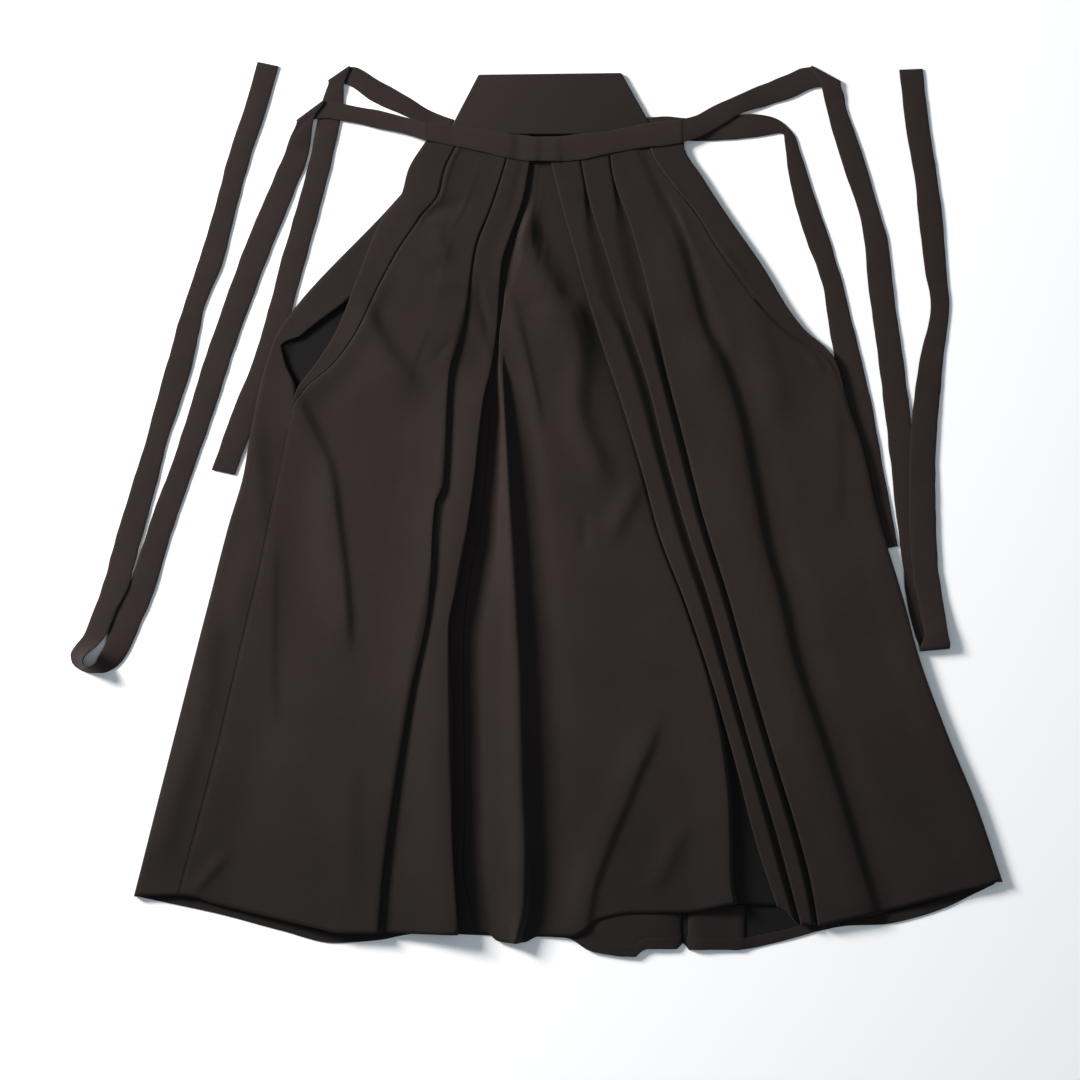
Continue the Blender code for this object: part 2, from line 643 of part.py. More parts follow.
def band(name, table, made_of):
    """A flat band through its rows: each row gives both edges and their heights."""
    rows = []
    for row in table:
        if len(row) == FLAT_FOLD_VALUES:
            rows += flat_fold(row)
        else:
            px, py, qx, qy, pz, qz = row
            rows.append((Vector((px, py, pz)), Vector((qx, qy, qz))))
    rings = []
    for i, (first, other) in enumerate(rows):
        before = rows[max(i - 1, 0)]
        after = rows[min(i + 1, len(rows) - 1)]
        middle = (first + other) / 2
        arrive = middle - (before[0] + before[1]) / 2
        leave = (after[0] + after[1]) / 2 - middle
        path = arrive.normalized() + leave.normalized()
        normal = (other - first).cross(path).normalized() * (TIE / 2)
        rings.append((first + normal, other + normal, other - normal, first - normal))
    return wall(name, rings, made_of)


def board(name, made_of):
    mesh = bmesh.new()
    rings = [
        [mesh.verts.new(Vector((x, y, z)) * MM) for x, y in BOARD_CORNERS]
        for z in (0, BOARD)
    ]
    mesh.faces.new(rings[0])
    mesh.faces.new(rings[1])
    for i in range(4):
        j = (i + 1) % 4
        mesh.faces.new((rings[0][i], rings[0][j], rings[1][j], rings[1][i]))
    edges = [e for e in mesh.edges if not all(v.co.z == 0 for v in e.verts)]
    bmesh.ops.bevel(
        mesh, geom=edges, offset=BOARD_EDGE * MM, segments=2, affect="EDGES", profile=0.5
    )
    return finish(name, mesh, made_of)


def build():
    for old in list(bpy.data.objects):
        bpy.data.objects.remove(old)
    panel("right_leg_back", right_back, material("right_leg_back", BLACK_CLOTH))
    panel("left_leg_back", left_back, material("left_leg_back", BLACK_CLOTH))
    panel("right_leg_front", right_front, material("right_leg_front", BLACK_CLOTH))
    panel("left_leg_front", left_front, material("left_leg_front", BLACK_CLOTH))
    board("koshi_ita", material("koshi_ita", BLACK_BOARD))
    tables = {
        "front_waistband": BAND,
        "front_tie_right": FRONT_TIE_RIGHT,
        "front_tie_left": FRONT_TIE_LEFT,
        "back_tie_right": BACK_TIE_RIGHT,
        "back_tie_left": BACK_TIE_LEFT,
    }
    for name, table in tables.items():
        band(name, table, material(name, BLACK_TIE))


build()
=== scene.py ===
# %% [markdown]
# # A hakama, laid flat
# A hakama is a pair of wide pleated trousers. It is sewn from straight lengths of
# cloth, so all of its shape comes from folding. This lesson dresses the packed
# solids: every cloth panel and tie is made again as a thin, finely divided shell.

# %% Open the frame
import math

import bmesh
import bpy
import numpy as np
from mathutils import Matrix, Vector, noise


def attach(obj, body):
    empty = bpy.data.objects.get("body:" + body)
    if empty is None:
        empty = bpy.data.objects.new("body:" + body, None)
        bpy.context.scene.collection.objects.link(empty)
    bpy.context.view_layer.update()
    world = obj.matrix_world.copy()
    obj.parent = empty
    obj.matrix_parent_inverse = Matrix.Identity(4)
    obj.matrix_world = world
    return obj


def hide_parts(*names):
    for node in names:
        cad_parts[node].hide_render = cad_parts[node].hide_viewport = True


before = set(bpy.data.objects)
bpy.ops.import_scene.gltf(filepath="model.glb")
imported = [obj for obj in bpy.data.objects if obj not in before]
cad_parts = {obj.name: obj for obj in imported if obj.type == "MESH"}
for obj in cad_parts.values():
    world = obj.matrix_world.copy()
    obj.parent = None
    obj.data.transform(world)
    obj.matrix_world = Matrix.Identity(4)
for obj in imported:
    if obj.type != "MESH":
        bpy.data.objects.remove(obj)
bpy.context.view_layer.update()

MM = 0.001
print("solids:", ", ".join(sorted(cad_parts)))

# %% [markdown]
# ## Camera
# The camera looks straight down, far enough away that the cloth is hardly distorted.
# The lens follows from the width that the picture has to show.

# %% Camera
PICTURE_WIDTH = 1.242
PICTURE_CENTRE = (0.0046, -0.0357)
CAMERA_HEIGHT = 3.2
SENSOR_MM = 36.0


def placed(name, data):
    """A new object at the origin of the scene."""
    made = bpy.data.objects.new(name, data)
    bpy.context.scene.collection.objects.link(made)
    return made


def set_sockets(node, values):
    """Numbers and colours, set on the node's own sockets."""
    for label, value in values.items():
        node.inputs[label].default_value = value


camera_data = bpy.data.cameras.new("camera")
camera_data.sensor_width = SENSOR_MM
camera_data.lens = SENSOR_MM * CAMERA_HEIGHT / PICTURE_WIDTH
camera = placed("camera", camera_data)
camera.location = (*PICTURE_CENTRE, CAMERA_HEIGHT)
bpy.context.scene.camera = camera
print("lens", round(camera_data.lens, 1), "mm")

# %% [markdown]
# ## Light and floor
# Black cloth shows its folds by the little light that it sends back. One wide lamp
# high on the left gives them a bright and a dark side, a second one above keeps the
# shadows open, and the white floor fills the edges.

# %% Light and floor
bpy.context.scene.view_settings.view_transform = "Standard"
LAMPS = (
    # name, place, side length, watts, colour
    ("window_light", (-3.1, 1.7, 1.6), 1.0, 345.0, (1.0, 0.965, 0.94)),
    ("overhead_light", (0.5, -0.3, 3.6), 2.6, 12.0, (0.9, 0.96, 1.0)),
)
for name, place, side, watts, colour in LAMPS:
    lamp = bpy.data.lights.new(name, "AREA")
    lamp.shape = "SQUARE"
    lamp.size = side
    lamp.energy = watts
    lamp.color = colour
    lamp_object = placed(name, lamp)
    lamp_object.location = place
    aim = Vector((0, 0, 0)) - Vector(place)
    lamp_object.rotation_euler = aim.to_track_quat("-Z", "Y").to_euler()

world = bpy.data.worlds.new("studio")
world.use_nodes = True
backdrop = world.node_tree.nodes["Background"]
set_sockets(backdrop, {"Color": (0.78, 0.9, 1.0, 1.0), "Strength": 0.3})
bpy.context.scene.world = world

FLOOR_SIDE = 9.0
FLOOR_DROP = 0.0003  # the floor lies this far below the cloth


def finished(name, mesh, materials):
    """The bmesh as an object of the scene, with its materials in their order."""
    data = bpy.data.meshes.new(name)
    mesh.to_mesh(data)
    mesh.free()
    for material in materials:
        data.materials.append(material)
    return placed(name, data)


floor_paint = bpy.data.materials.new("floor_paint")
floor_paint.use_nodes = True
floor_shader = floor_paint.node_tree.nodes["Principled BSDF"]
set_sockets(floor_shader, {"Base Color": (0.95, 0.95, 0.95, 1.0), "Roughness": 0.9})
floor_mesh = bmesh.new()
bmesh.ops.create_grid(floor_mesh, x_segments=1, y_segments=1, size=FLOOR_SIDE / 2)
floor = finished("floor", floor_mesh, (floor_paint,))
floor.location.z = -FLOOR_DROP
print("floor and", len(LAMPS), "lamps")

# %% [markdown]
# ## The weave
# The cloth is a plain weave of fine matt threads. Threads run along the UV map, which
# is measured in metres along the cloth, so the weave turns with every fold. The same
# group serves panels, ties and board, so it is built once with named sockets.

# %% Weave group
THREAD = 0.0007  # metres from one thread to the next
BROAD_SHARE = 0.6  # of the mottle, the rest is fine
WORN_FROM, WORN_TO = 0.35, 0.68  # mottle at which the dye starts to wear, and is worn
ROUGHNESS, ROUGHNESS_SPREAD = 0.72, 0.12
THREAD_SHARE = 0.5  # of the height, the rest is fuzz


def new_group(name, inputs, outputs):
    """An empty shader group with named sockets."""
    group = bpy.data.node_groups.new(name, "ShaderNodeTree")
    for label, kind, value in inputs:
        socket = group.interface.new_socket(label, in_out="INPUT", socket_type=kind)
        socket.default_value = value
    for label, kind in outputs:
        group.interface.new_socket(label, in_out="OUTPUT", socket_type=kind)
    return group


def math_node(tree, operation, first, second=None):
    node = tree.nodes.new("ShaderNodeMath")
    node.operation = operation
    for socket, value in zip(node.inputs, (first, second)):
        if isinstance(value, (int, float)):
            socket.default_value = value
        elif value is not None:
            tree.links.new(value, socket)
    return node.outputs[0]


def mix_node(tree, blend, factor, first, second):
    """Two colours mixed, by a number or by what another node puts out."""
    node = tree.nodes.new("ShaderNodeMix")
    node.data_type = "RGBA"
    node.blend_type = blend
    if isinstance(factor, float):
        node.inputs["Factor"].default_value = factor
    else:
        tree.links.new(factor, node.inputs["Factor"])
    tree.links.new(first, node.inputs[6])
    tree.links.new(second, node.inputs[7])
    return node.outputs[2]


weave = new_group(
    "plain_weave",
    (
        ("Cloth", "NodeSocketColor", (0.03, 0.025, 0.025, 1.0)),
        ("Worn", "NodeSocketColor", (0.05, 0.04, 0.04, 1.0)),
    ),
    (
        ("Color", "NodeSocketColor"),
        ("Roughness", "NodeSocketFloat"),
        ("Height", "NodeSocketFloat"),
    ),
)
inside = weave.nodes.new("NodeGroupInput")
outside = weave.nodes.new("NodeGroupOutput")
uv = weave.nodes.new("ShaderNodeUVMap")
uv.uv_map = "cloth"
split = weave.nodes.new("ShaderNodeSeparateXYZ")
weave.links.new(uv.outputs["UV"], split.inputs[0])
threads = []
for axis in ("X", "Y"):
    turned = math_node(weave, "MULTIPLY", split.outputs[axis], math.pi / THREAD)
    threads.append(math_node(weave, "SINE", turned))
crossing = math_node(weave, "MULTIPLY", threads[0], threads[1])
knots = math_node(weave, "ABSOLUTE", crossing)
place = weave.nodes.new("ShaderNodeTexCoord")


def scaled(value, share):
    return math_node(weave, "MULTIPLY", value, share)


def cloud(scale, detail, rough):
    """Soft random spots, as many to a metre as the scale says."""
    node = weave.nodes.new("ShaderNodeTexNoise")
    set_sockets(node, {"Scale": scale, "Detail": detail, "Roughness": rough})
    weave.links.new(place.outputs["Object"], node.inputs["Vector"])
    return node.outputs["Fac"]


broad = cloud(9.0, 3.0, 0.55)
fine = cloud(220.0, 2.0, 0.6)
fuzz = cloud(900.0, 1.0, 0.5)
mottle = math_node(weave, "ADD", scaled(broad, BROAD_SHARE), scaled(fine, 1 - BROAD_SHARE))
wear = weave.nodes.new("ShaderNodeMapRange")
set_sockets(wear, {"From Min": WORN_FROM, "From Max": WORN_TO})
weave.links.new(mottle, wear.inputs["Value"])
tone = mix_node(weave, "MIX", wear.outputs[0], inside.outputs["Cloth"], inside.outputs["Worn"])
weave.links.new(tone, outside.inputs["Color"])
rough = math_node(weave, "ADD", scaled(fine, ROUGHNESS_SPREAD), ROUGHNESS)
weave.links.new(rough, outside.inputs["Roughness"])
height = math_node(weave, "ADD", scaled(knots, THREAD_SHARE), scaled(fuzz, 1 - THREAD_SHARE))
weave.links.new(height, outside.inputs["Height"])
print("weave:", len(weave.nodes), "nodes")

# %% [markdown]
# ## The cloths
# Panels, ties and board are cut from the same black cloth. Each cloth is the weave with
# its own two colours, matt, with a little sheen. One cloth, far darker, is painted
# shade, for faces that lie in deep shade. The panels are darker towards the waist, and
# painted darker towards the hem as shade.

# %% Painted falloff
# Painted shade: the panel colour is darkened towards the hem, where less light falls, and also
# towards the waist.
PAINTED_FALLOFF = (
    # metres from the middle towards the waist, share of the colour kept, painted shade
    (-0.50, (0.71, 0.78, 0.76)),
    (-0.36, (0.77, 0.83, 0.81)),
    (-0.22, (0.93, 0.95, 0.94)),
    (-0.08, (1.0, 1.0, 1.0)),
    (0.08, (0.96, 0.96, 0.96)),
    (0.20, (0.86, 0.86, 0.86)),
    (0.43, (0.80, 0.80, 0.80)),
)


def painted_falloff_colour(tree, colour):
    """The colour, darker towards the waist, and painted darker towards the hem as shade."""
    place = tree.nodes.new("ShaderNodeTexCoord")
    axes = tree.nodes.new("ShaderNodeSeparateXYZ")
    tree.links.new(place.outputs["Object"], axes.inputs[0])
    low, high = PAINTED_FALLOFF[0][0], PAINTED_FALLOFF[-1][0]
    above = math_node(tree, "SUBTRACT", axes.outputs["Y"], low)
    share = math_node(tree, "DIVIDE", above, high - low)
    ramp = tree.nodes.new("ShaderNodeValToRGB")
    stops = ramp.color_ramp.elements
    while len(stops) < len(PAINTED_FALLOFF):
        stops.new(0.5)
    for stop, (y, light) in zip(stops, PAINTED_FALLOFF):
        stop.position = (y - low) / (high - low)
        stop.color = (*light, 1.0)
    tree.links.new(share, ramp.inputs["Fac"])
    return mix_node(tree, "MULTIPLY", 1.0, colour, ramp.outputs["Color"])


print("faded in", len(PAINTED_FALLOFF), "steps")

# %% Cloth materials


def cloth_material(name, colour, worn, falloff=False):
    """The weave in a colour of its own and in the one that it wears to."""
    made = bpy.data.materials.new(name)
    made.use_nodes = True
    tree = made.node_tree
    shader = tree.nodes["Principled BSDF"]
    group = tree.nodes.new("ShaderNodeGroup")
    group.node_tree = weave
    set_sockets(group, {"Cloth": (*colour, 1.0), "Worn": (*worn, 1.0)})
    base = group.outputs["Color"]
    if falloff:
        # Only the panels get this painted shade towards waist and hem.
        base = painted_falloff_colour(tree, base)
    tree.links.new(base, shader.inputs["Base Color"])
    tree.links.new(group.outputs["Roughness"], shader.inputs["Roughness"])
    bump = tree.nodes.new("ShaderNodeBump")
    set_sockets(bump, {"Strength": 0.25, "Distance": 0.0002})
    tree.links.new(group.outputs["Height"], bump.inputs["Height"])
    tree.links.new(bump.outputs["Normal"], shader.inputs["Normal"])
    gloss = {"Specular IOR Level": 0.1, "Sheen Weight": 0.05, "Sheen Roughness": 0.5}
    set_sockets(shader, {**gloss, "Sheen Tint": (0.9, 0.82, 0.8, 1.0)})
    return made


# The second cloth is painted shade: a far darker copy of the black cloth, for faces that lie in
# deep shade, where the real cloth is the same black.
panel_cloth, shade_cloth, tie_cloth, board_cloth = (
    cloth_material(*finish)
    for finish in (
        ("black_panel_cloth", (0.0172, 0.0115, 0.0104), (0.0222, 0.0155, 0.0142), True),
        ("shade_painted_cloth", (0.0052, 0.0046, 0.0047), (0.0064, 0.0056, 0.0057)),
        ("black_tie_cloth", (0.0182, 0.0123, 0.0113), (0.0232, 0.0163, 0.0152)),
        ("black_board_cloth", (0.0176, 0.0122, 0.0112), (0.0206, 0.0146, 0.0136)),
    )
)
print("cloths:", panel_cloth.name, shade_cloth.name, tie_cloth.name, board_cloth.name)

# %% [markdown]
# ## Lines on the cloth
# A folded panel is described twice. Lines say where each fold runs from waist to hem,
# and a section says how the cloth goes up and down between them. Both are short
# tables in millimetres, and smooth curves are drawn through them.

# %% Lines from waist to hem
RIGHT_SIDE_SEAM = (
    (135, -275), (79, -285), (10, -299), (-70, -315), (-162, -337), (-266, -361),
    (-444, -408),
)
LINES = {
    # name: (y, x) of its points, from the waist down
    "right_outline": ((424, -117), (389, -143), (367, -151), (355, -161), (228, -279),
     (198, -299), (92, -327), (39, -336), (-18, -353), (-103, -375), (-220, -405), (-445, -462)),
    "right_back_edge": ((424, -93), (335, -143), (262, -194), (239, -217), (222, -240),
     (207, -260), (196, -275), (191, -293), (168, -288), *RIGHT_SIDE_SEAM),
    "right_side_fold": ((429, -122), (389, -147), (360, -155), (335, -176), (266, -205),
     (207, -228), (169, -251), *RIGHT_SIDE_SEAM),
    "right_outer_pleat": ((429, -30), (416, -32), (348, -52), (301, -70), (205, -84), (158, -99),
     (29, -106), (6, -115), (-105, -122), (-220, -145), (-407, -174), (-485, -181)),
    "right_inner_pleat": ((412, -5), (355, -15), (309, -31), (283, -39), (205, -45), (169, -50),
     (125, -60), (31, -71), (-74, -87), (-140, -100), (-243, -96), (-351, -96), (-489, -89)),
    "centre_front": ((412, -2.5), (355, -12.5), (309, -27), (283, -34), (259, -38), (205, -42),
     (158, -47.5), (125, -52), (-15, -63), (-74, -76), (-156, -84), (-351, -82), (-407, -85),
     (-450, -78), (-490, -68)),
    "left_gap_edge": ((412, 0), (355, -10), (309, -22), (259, -33), (205, -38.5), (158, -42),
     (125, -42), (31, -42.5), (-15, -44), (-74, -51), (-156, -57), (-351, -56), (-392, -55),
     (-420, -52), (-450, -47), (-490, -44)),
    "left_ridge": ((412, 2), (355, -5), (309, -15), (240, -35), (189, -42), (125, -39.5),
     (31, -37), (-109, -39), (-266, -40), (-392, -36), (-454, -34), (-497, -31)),
    "left_ridge_side": ((412, 4.5), (309, -11), (240, -31), (189, -39.5), (125, -37), (68, -34),
     (10, -31), (-59, -27), (-128, -23.5), (-197, -20), (-266, -18.5), (-335, -16.5), (-392, -14),
     (-450, -15), (-498, -24)),
    "left_trough": ((412, 7), (306, -5), (240, -26), (189, -36), (125, -30), (68, -23), (10, -18),
     (-128, -9), (-197, -5), (-392, 0), (-450, -4), (-494, -14)),
    "left_trough_side": ((412, 9), (306, 1), (240, -20), (189, -31), (125, -17), (56, -5),
     (-13, 2), (-82, 8), (-151, 14), (-220, 18), (-335, 19), (-392, 18), (-450, 12), (-491, 4)),
    "centre_panel_edge": ((412, 12.5), (369, 20.5), (301, 39.5), (200, 68.5), (125, 93.5),
     (39, 119.5), (-28, 137.5), (-109, 168.5), (-208, 200), (-271, 213), (-347, 221), (-427, 223),
     (-453, 227)),
    "left_inner_pleat": ((412, 14), (369, 24), (301, 43), (200, 72), (125, 97), (39, 123),
     (-28, 141), (-109, 172), (-205, 204), (-289, 228), (-385, 253), (-457, 277)),
    "left_middle_pleat": ((415, 49), (358, 60), (297, 79), (214, 105), (144, 128), (56, 150),
     (-21, 172), (-105, 199), (-205, 227), (-289, 251), (-376, 277), (-477, 304)),
    "left_outer_pleat": ((421, 84), (391, 87), (320, 110), (240, 131), (152, 151), (79, 170),
     (-5, 191), (-105, 222), (-181, 243), (-289, 275), (-370, 300), (-427, 315), (-478, 324)),
    "left_panel_trough": ((432, 112), (376, 140), (319, 168), (271, 183), (213, 200), (171, 222),
     (94, 246), (56, 253), (10, 262), (-36, 270), (-105, 289), (-169, 303), (-278, 340),
     (-393, 376), (-463, 398)),
    "left_outline": ((432, 170), (419, 170), (378, 193), (332, 223), (285, 256), (205, 309),
     (185, 333), (172, 344), (122, 358), (71, 375), (-3, 392), (-110, 424), (-163, 438),
     (-267, 476), (-337, 505), (-428, 536)),
    "centre_back": ((430, 25), (-501, 169)),
}

# Where the cloth starts and ends: (x, y) from the wearer's right to the left.
FRONT_WAIST = (
    (-122, 429), (-85, 428), (-32, 416), (-5, 412), (14, 412), (49, 415), (84, 421),
    (131, 429), (170, 429),
)
FRONT_HEM = (
    (-408, -444), (-334, -463), (-275, -477), (-208, -486), (-181, -487), (-68, -488),
    (-46, -496), (-29, -498), (-12, -498), (3, -491), (40, -491), (62, -478),
    (83, -466), (172, -463), (212, -461), (228, -453), (277, -457), (304, -477),
    (322, -478), (371, -468), (423, -459), (486, -439), (536, -428),
)
BACK_WAIST = ((-117, 424), (-102, 432), (138, 432), (143, 424), (166.5, 419))
BACK_HEM = (
    (-462, -445), (-366, -465), (-291, -485), (-232, -499), (-183, -496), (-131, -488),
    (-7, -492), (34, -493), (64, -509), (116, -515), (123, -506), (163, -506),
    (167, -501), (169.5, -499), (172, -502), (176, -507), (229, -507),
    (275, -499), (362, -479), (396, -478), (437, -470), (470, -459), (511, -439),
    (536, -428),
)
print(len(LINES), "lines")

# %% [markdown]
# ## Smooth curves through tables
# A monotone cubic passes through every value of a table and never swings past one,
# so a pleat can't bulge through its neighbour where the table turns a corner.

# %% Smooth curves


class Curve:
    """A smooth function through (key, value) pairs, flat at peaks and beyond its ends."""

    def __init__(self, keys, values):
        self.keys = np.asarray(keys, float)
        self.values = np.asarray(values, float)
        steps = np.diff(self.keys)
        slopes = np.diff(self.values) / steps
        tangents = np.zeros(len(self.keys))
        if len(slopes) > 1:
            same = slopes[:-1] * slopes[1:] > 0
            w1 = 2 * steps[1:] + steps[:-1]
            w2 = steps[1:] + 2 * steps[:-1]
            safe = np.where(same, slopes[:-1] * slopes[1:], 1.0)
            mean = (w1 + w2) * safe / (w1 * slopes[1:] + w2 * slopes[:-1] + (~same))
            tangents[1:-1] = np.where(same, mean, 0.0)
        tangents[0], tangents[-1] = slopes[0], slopes[-1]
        self.steps, self.tangents = steps, tangents

    def __call__(self, at):
        at = np.clip(at, self.keys[0], self.keys[-1])
        i = np.clip(np.searchsorted(self.keys, at, "right") - 1, 0, len(self.steps) - 1)
        h = self.steps[i]
        t = (at - self.keys[i]) / h
        a, b = self.values[i], self.values[i + 1]
        ta, tb = self.tangents[i] * h, self.tangents[i + 1] * h
        return (
            a * (1 + 2 * t) * (1 - t) ** 2
            + ta * t * (1 - t) ** 2
            + b * t**2 * (3 - 2 * t)
            + tb * t**2 * (t - 1)
        )


def table_curve(table, column=1):
    return Curve([row[0] for row in table], [row[column] for row in table])


def mix(a, b, share):
    return a + (b - a) * share


def steps_along(points, axis=0):
    """The distance from each point to the next."""
    return np.linalg.norm(np.diff(points, axis=axis), axis=-1)


def running(steps):
    """The distance of each point from the start."""
    return np.concatenate([[0], np.cumsum(steps)])


def divided(keys, counts):
    """The keys, with each step between two of them cut into as many as its count."""
    at = [0.0]
    for i, count in enumerate(counts):
        at += [mix(keys[i], keys[i + 1], j / count) for j in range(1, count + 1)]
    return np.array(at)


def through(keys, points, at):
    """Points of a smooth curve through the given ones."""
    return np.stack([Curve(keys, column)(at) for column in points.T], axis=1)


line_curves = {
    name: Curve([-y for y, _ in points], [x for _, x in points])
    for name, points in LINES.items()
}
front_waist, front_hem = table_curve(FRONT_WAIST), table_curve(FRONT_HEM)
back_waist, back_hem = table_curve(BACK_WAIST), table_curve(BACK_HEM)


def across(line, y):
    """The line's x at this y."""
    return float(line_curves[line](-y))


print(len(line_curves), "curves of lines")

# %% [markdown]
# ## Heights and widths
# These tables say how high each layer lies and how wide each strip is, at fractions
# of the way from waist to hem. Pleats are pressed flat at the waist and open towards
# the hem, so the step from layer to layer grows.

# %% Heights and widths
CLOTH = 1.0
TIE = 1.6
REST = TIE / 2  # middle of a tie that lies on the floor
SEAM = -0.3  # the two edges of a seam press into each other
FLOOR_LAYER = 0.5  # middle of a panel that lies on the floor
FRONT_BASE = 1.8  # lowest layer of the right front
LEFT_BASE = 2.1  # lowest layer under the left pleats
LEFT_PLEAT_SHARE = 0.55  # depth of a left pleat, of the way to the next one
PROFILES = {
    # name: (fraction from waist to hem, millimetres or share)
    "right_strip": ((0, 37), (0.05, 42), (0.107, 43), (0.16, 33), (0.217, 26), (0.2715, 23),
     (0.3, 20), (0.337, 7), (0.36, 1.2), (1, 1.2)),
    "left_strip": ((0, 39), (0.05, 41), (0.107, 34), (0.16, 37), (0.217, 30), (0.266, 20),
     (0.2715, 19), (0.3, 7), (0.337, 1.2), (1, 1.2)),
    "right_strip_lift": ((0, 1.15), (0.337, 1.15), (0.36, 0.3), (1, 0.3)),
    "left_strip_lift": ((0, 1.15), (0.3, 1.15), (0.337, 0.3), (1, 0.3)),
    "right_lap": ((0, 0), (0.337, 0), (0.36, 2.5), (1, 2.5)),
    "right_wrap": ((0, 2.9), (0.12, 3.2), (0.16, 3.8), (0.217, 4.8), (0.2715, 4.6), (0.3, 4.9),
     (0.337, 6.3), (1, 6.3)),
    "right_strip_slope": ((0, 0.3), (0.04, 1.4), (0.1, 2.0), (0.15, 1.4), (0.2, 0.4), (0.25, 0),
     (1, 0)),
    "right_side": ((0, 4.5), (0.16, 4.9), (0.217, 5.9), (0.3, 6.4), (0.337, 7.4), (1, 7.4)),
    "left_wrap": ((0, 2.9), (0.2715, 2.9), (0.3, 4.3), (0.337, 6.5), (1, 6.5)),
    "left_side": ((0, 4.5), (0.2715, 4.5), (0.3, 6.6), (0.337, 7.8), (1, 7.8)),
    "right_lift": ((0, 0), (0.16, 0), (0.217, 2.0), (0.4, 2.0), (0.48, 0), (1, 0)),
    "left_lift": ((0, 0), (0.2715, 0), (0.3, 2.0), (0.56, 2.0), (0.64, 0), (1, 0)),
    "left_edge_rise": ((0, 0.3), (0.08, 0.3), (0.14, 1.0), (1, 1.0)),
    "left_front_inset": ((0, 0), (0.2715, 0), (0.3, 1.0), (1, 1.0)),
    "left_back_inset": ((0, 3.5), (0.266, 3.5), (0.2715, 0), (1, 0)),
    "left_wrap_inset": ((0, 15.5), (0.2715, 15.5), (0.3, 13.7), (1, 13.7)),
    "right_pitch": ((0, 1.1), (0.07, 1.2), (0.12, 1.6), (0.24, 1.6), (0.337, 2.2), (0.45, 2.4),
     (1, 2.4)),
    "left_pitch": ((0, 1.5), (0.12, 2.0), (0.3, 3.0), (1, 3.4)),
    "pleats_shut": ((0, 1), (0.1, 1), (0.16, 0.8), (0.2, 0.35), (0.34, 0), (1, 0)),
    "left_descent": ((0, 0.93), (0.04, 0.93), (0.085, 0.7), (0.107, 0.5), (0.15, 0.34),
     (0.19, 0.28), (0.24, 0.6), (1, 0.6)),
    "hidden_rise": ((0, 0), (0.64, 0), (0.8, 3.0), (0.93, 6.0), (1, 6.0)),
    "right_pleat_depth": ((0, 24), (0.3, 40), (1, 45)),
    "outer_pleat_depth": ((0, 14), (0.16, 20), (0.3, 25), (1, 25)),
}
profile_curves = {name: table_curve(rows) for name, rows in PROFILES.items()}


def profile(name, v):
    """The profile's value at v, the fraction of the way from waist to hem."""
    return float(profile_curves[name](v))


print(len(PROFILES), "profiles")

# %% Wide stretches
# Soft folds of the three wide stretches: a fraction, then a height for each column.
RIGHT_PANEL_SHARES = (0.25, 0.5, 0.75, 0.95)
RIGHT_PANEL = (
    (0.0, 5.4, 5.5, 5.8, 6.1),
    (0.06, 6.8, 6.6, 6.6, 6.8),
    (0.107, 7.6, 7.4, 7.5, 7.9),
    (0.165, 7.1, 7.0, 7.2, 7.8),
    (0.217, 6.3, 6.9, 7.5, 8.1),
    (0.337, 6.8, 8.4, 9.6, 10.4),
    (0.56, 6.6, 8.6, 10.2, 11.1),
    (0.8, 6.6, 8.6, 10.2, 11.1),
    (1.0, 6.6, 8.6, 10.2, 11.1),
)
CENTRE_PANEL_SHARES = (0.16, 0.3, 0.45, 0.75)
CENTRE_PANEL = (
    (0.0, 2.1, 2.6, 2.6, 2.3, 2.2, 2.2, 2.2, 2.2, 2.2, 2.2),
    (0.06, 2.2, 2.8, 3.0, 2.8, 2.7, 2.5, 2.4, 2.4, 2.3, 2.2),
    (0.107, 2.8, 5.0, 5.2, 4.4, 3.4, 2.8, 2.6, 2.5, 2.5, 2.3),
    (0.14, 2.6, 3.6, 4.4, 4.8, 4.8, 4.2, 3.6, 3.0, 2.6, 2.3),
    (0.165, 3.2, 3.6, 4.4, 4.9, 5.2, 5.4, 5.0, 4.2, 2.9, 2.3),
    (0.19, 5.0, 5.2, 5.6, 6.0, 6.4, 6.8, 6.8, 6.2, 3.4, 2.4),
    (0.217, 5.2, 5.6, 6.0, 6.4, 6.8, 7.6, 8.6, 9.4, 7.2, 2.6),
    (0.25, 5.4, 6.4, 6.6, 6.8, 7.0, 7.6, 8.6, 9.0, 7.8, 2.8),
    (0.3, 4.2, 9.0, 9.8, 3.0, 4.2, 6.8, 7.6, 8.0, 6.6, 3.0),
    (0.4, 4.4, 10.6, 14.2, 2.4, 2.2, 5.2, 6.2, 6.8, 5.6, 3.6),
    (0.64, 5.6, 10.6, 17.2, 2.6, 1.9, 4.4, 5.6, 6.0, 6.4, 6.0),
    (0.8, 5.6, 10.8, 18.2, 2.6, 1.9, 4.2, 5.4, 6.0, 7.4, 11.4),
    (0.93, 5.2, 10.2, 17.4, 2.6, 1.9, 4.2, 5.4, 6.0, 8.0, 14.8),
    (1.0, 4.0, 8.4, 14.6, 3.0, 2.4, 4.4, 5.6, 6.0, 8.0, 14.8),
)
OUTER_PANEL_SHARES = (0.45, 0.75, 1)  # from the last pleat to the trough
SIDE_PANEL_SHARES = (0.3, 0.7, 0.93)  # from the trough to the side strip
OUTER_PANEL = (
    (0.0, 5.6, 5.8, 4.9, 4.8, 4.8, 4.9),
    (0.06, 6.2, 6.6, 4.5, 4.5, 4.6, 4.8),
    (0.107, 6.0, 5.0, 3.2, 5.0, 5.4, 5.9),
    (0.217, 6.8, 5.6, 3.0, 5.6, 5.8, 6.0),
    (0.337, 7.5, 6.0, 3.0, 6.0, 6.8, 8.0),
    (0.64, 7.9, 6.4, 3.2, 6.0, 6.6, 8.1),
    (1.0, 8.1, 6.6, 3.4, 5.8, 6.6, 8.1),
)
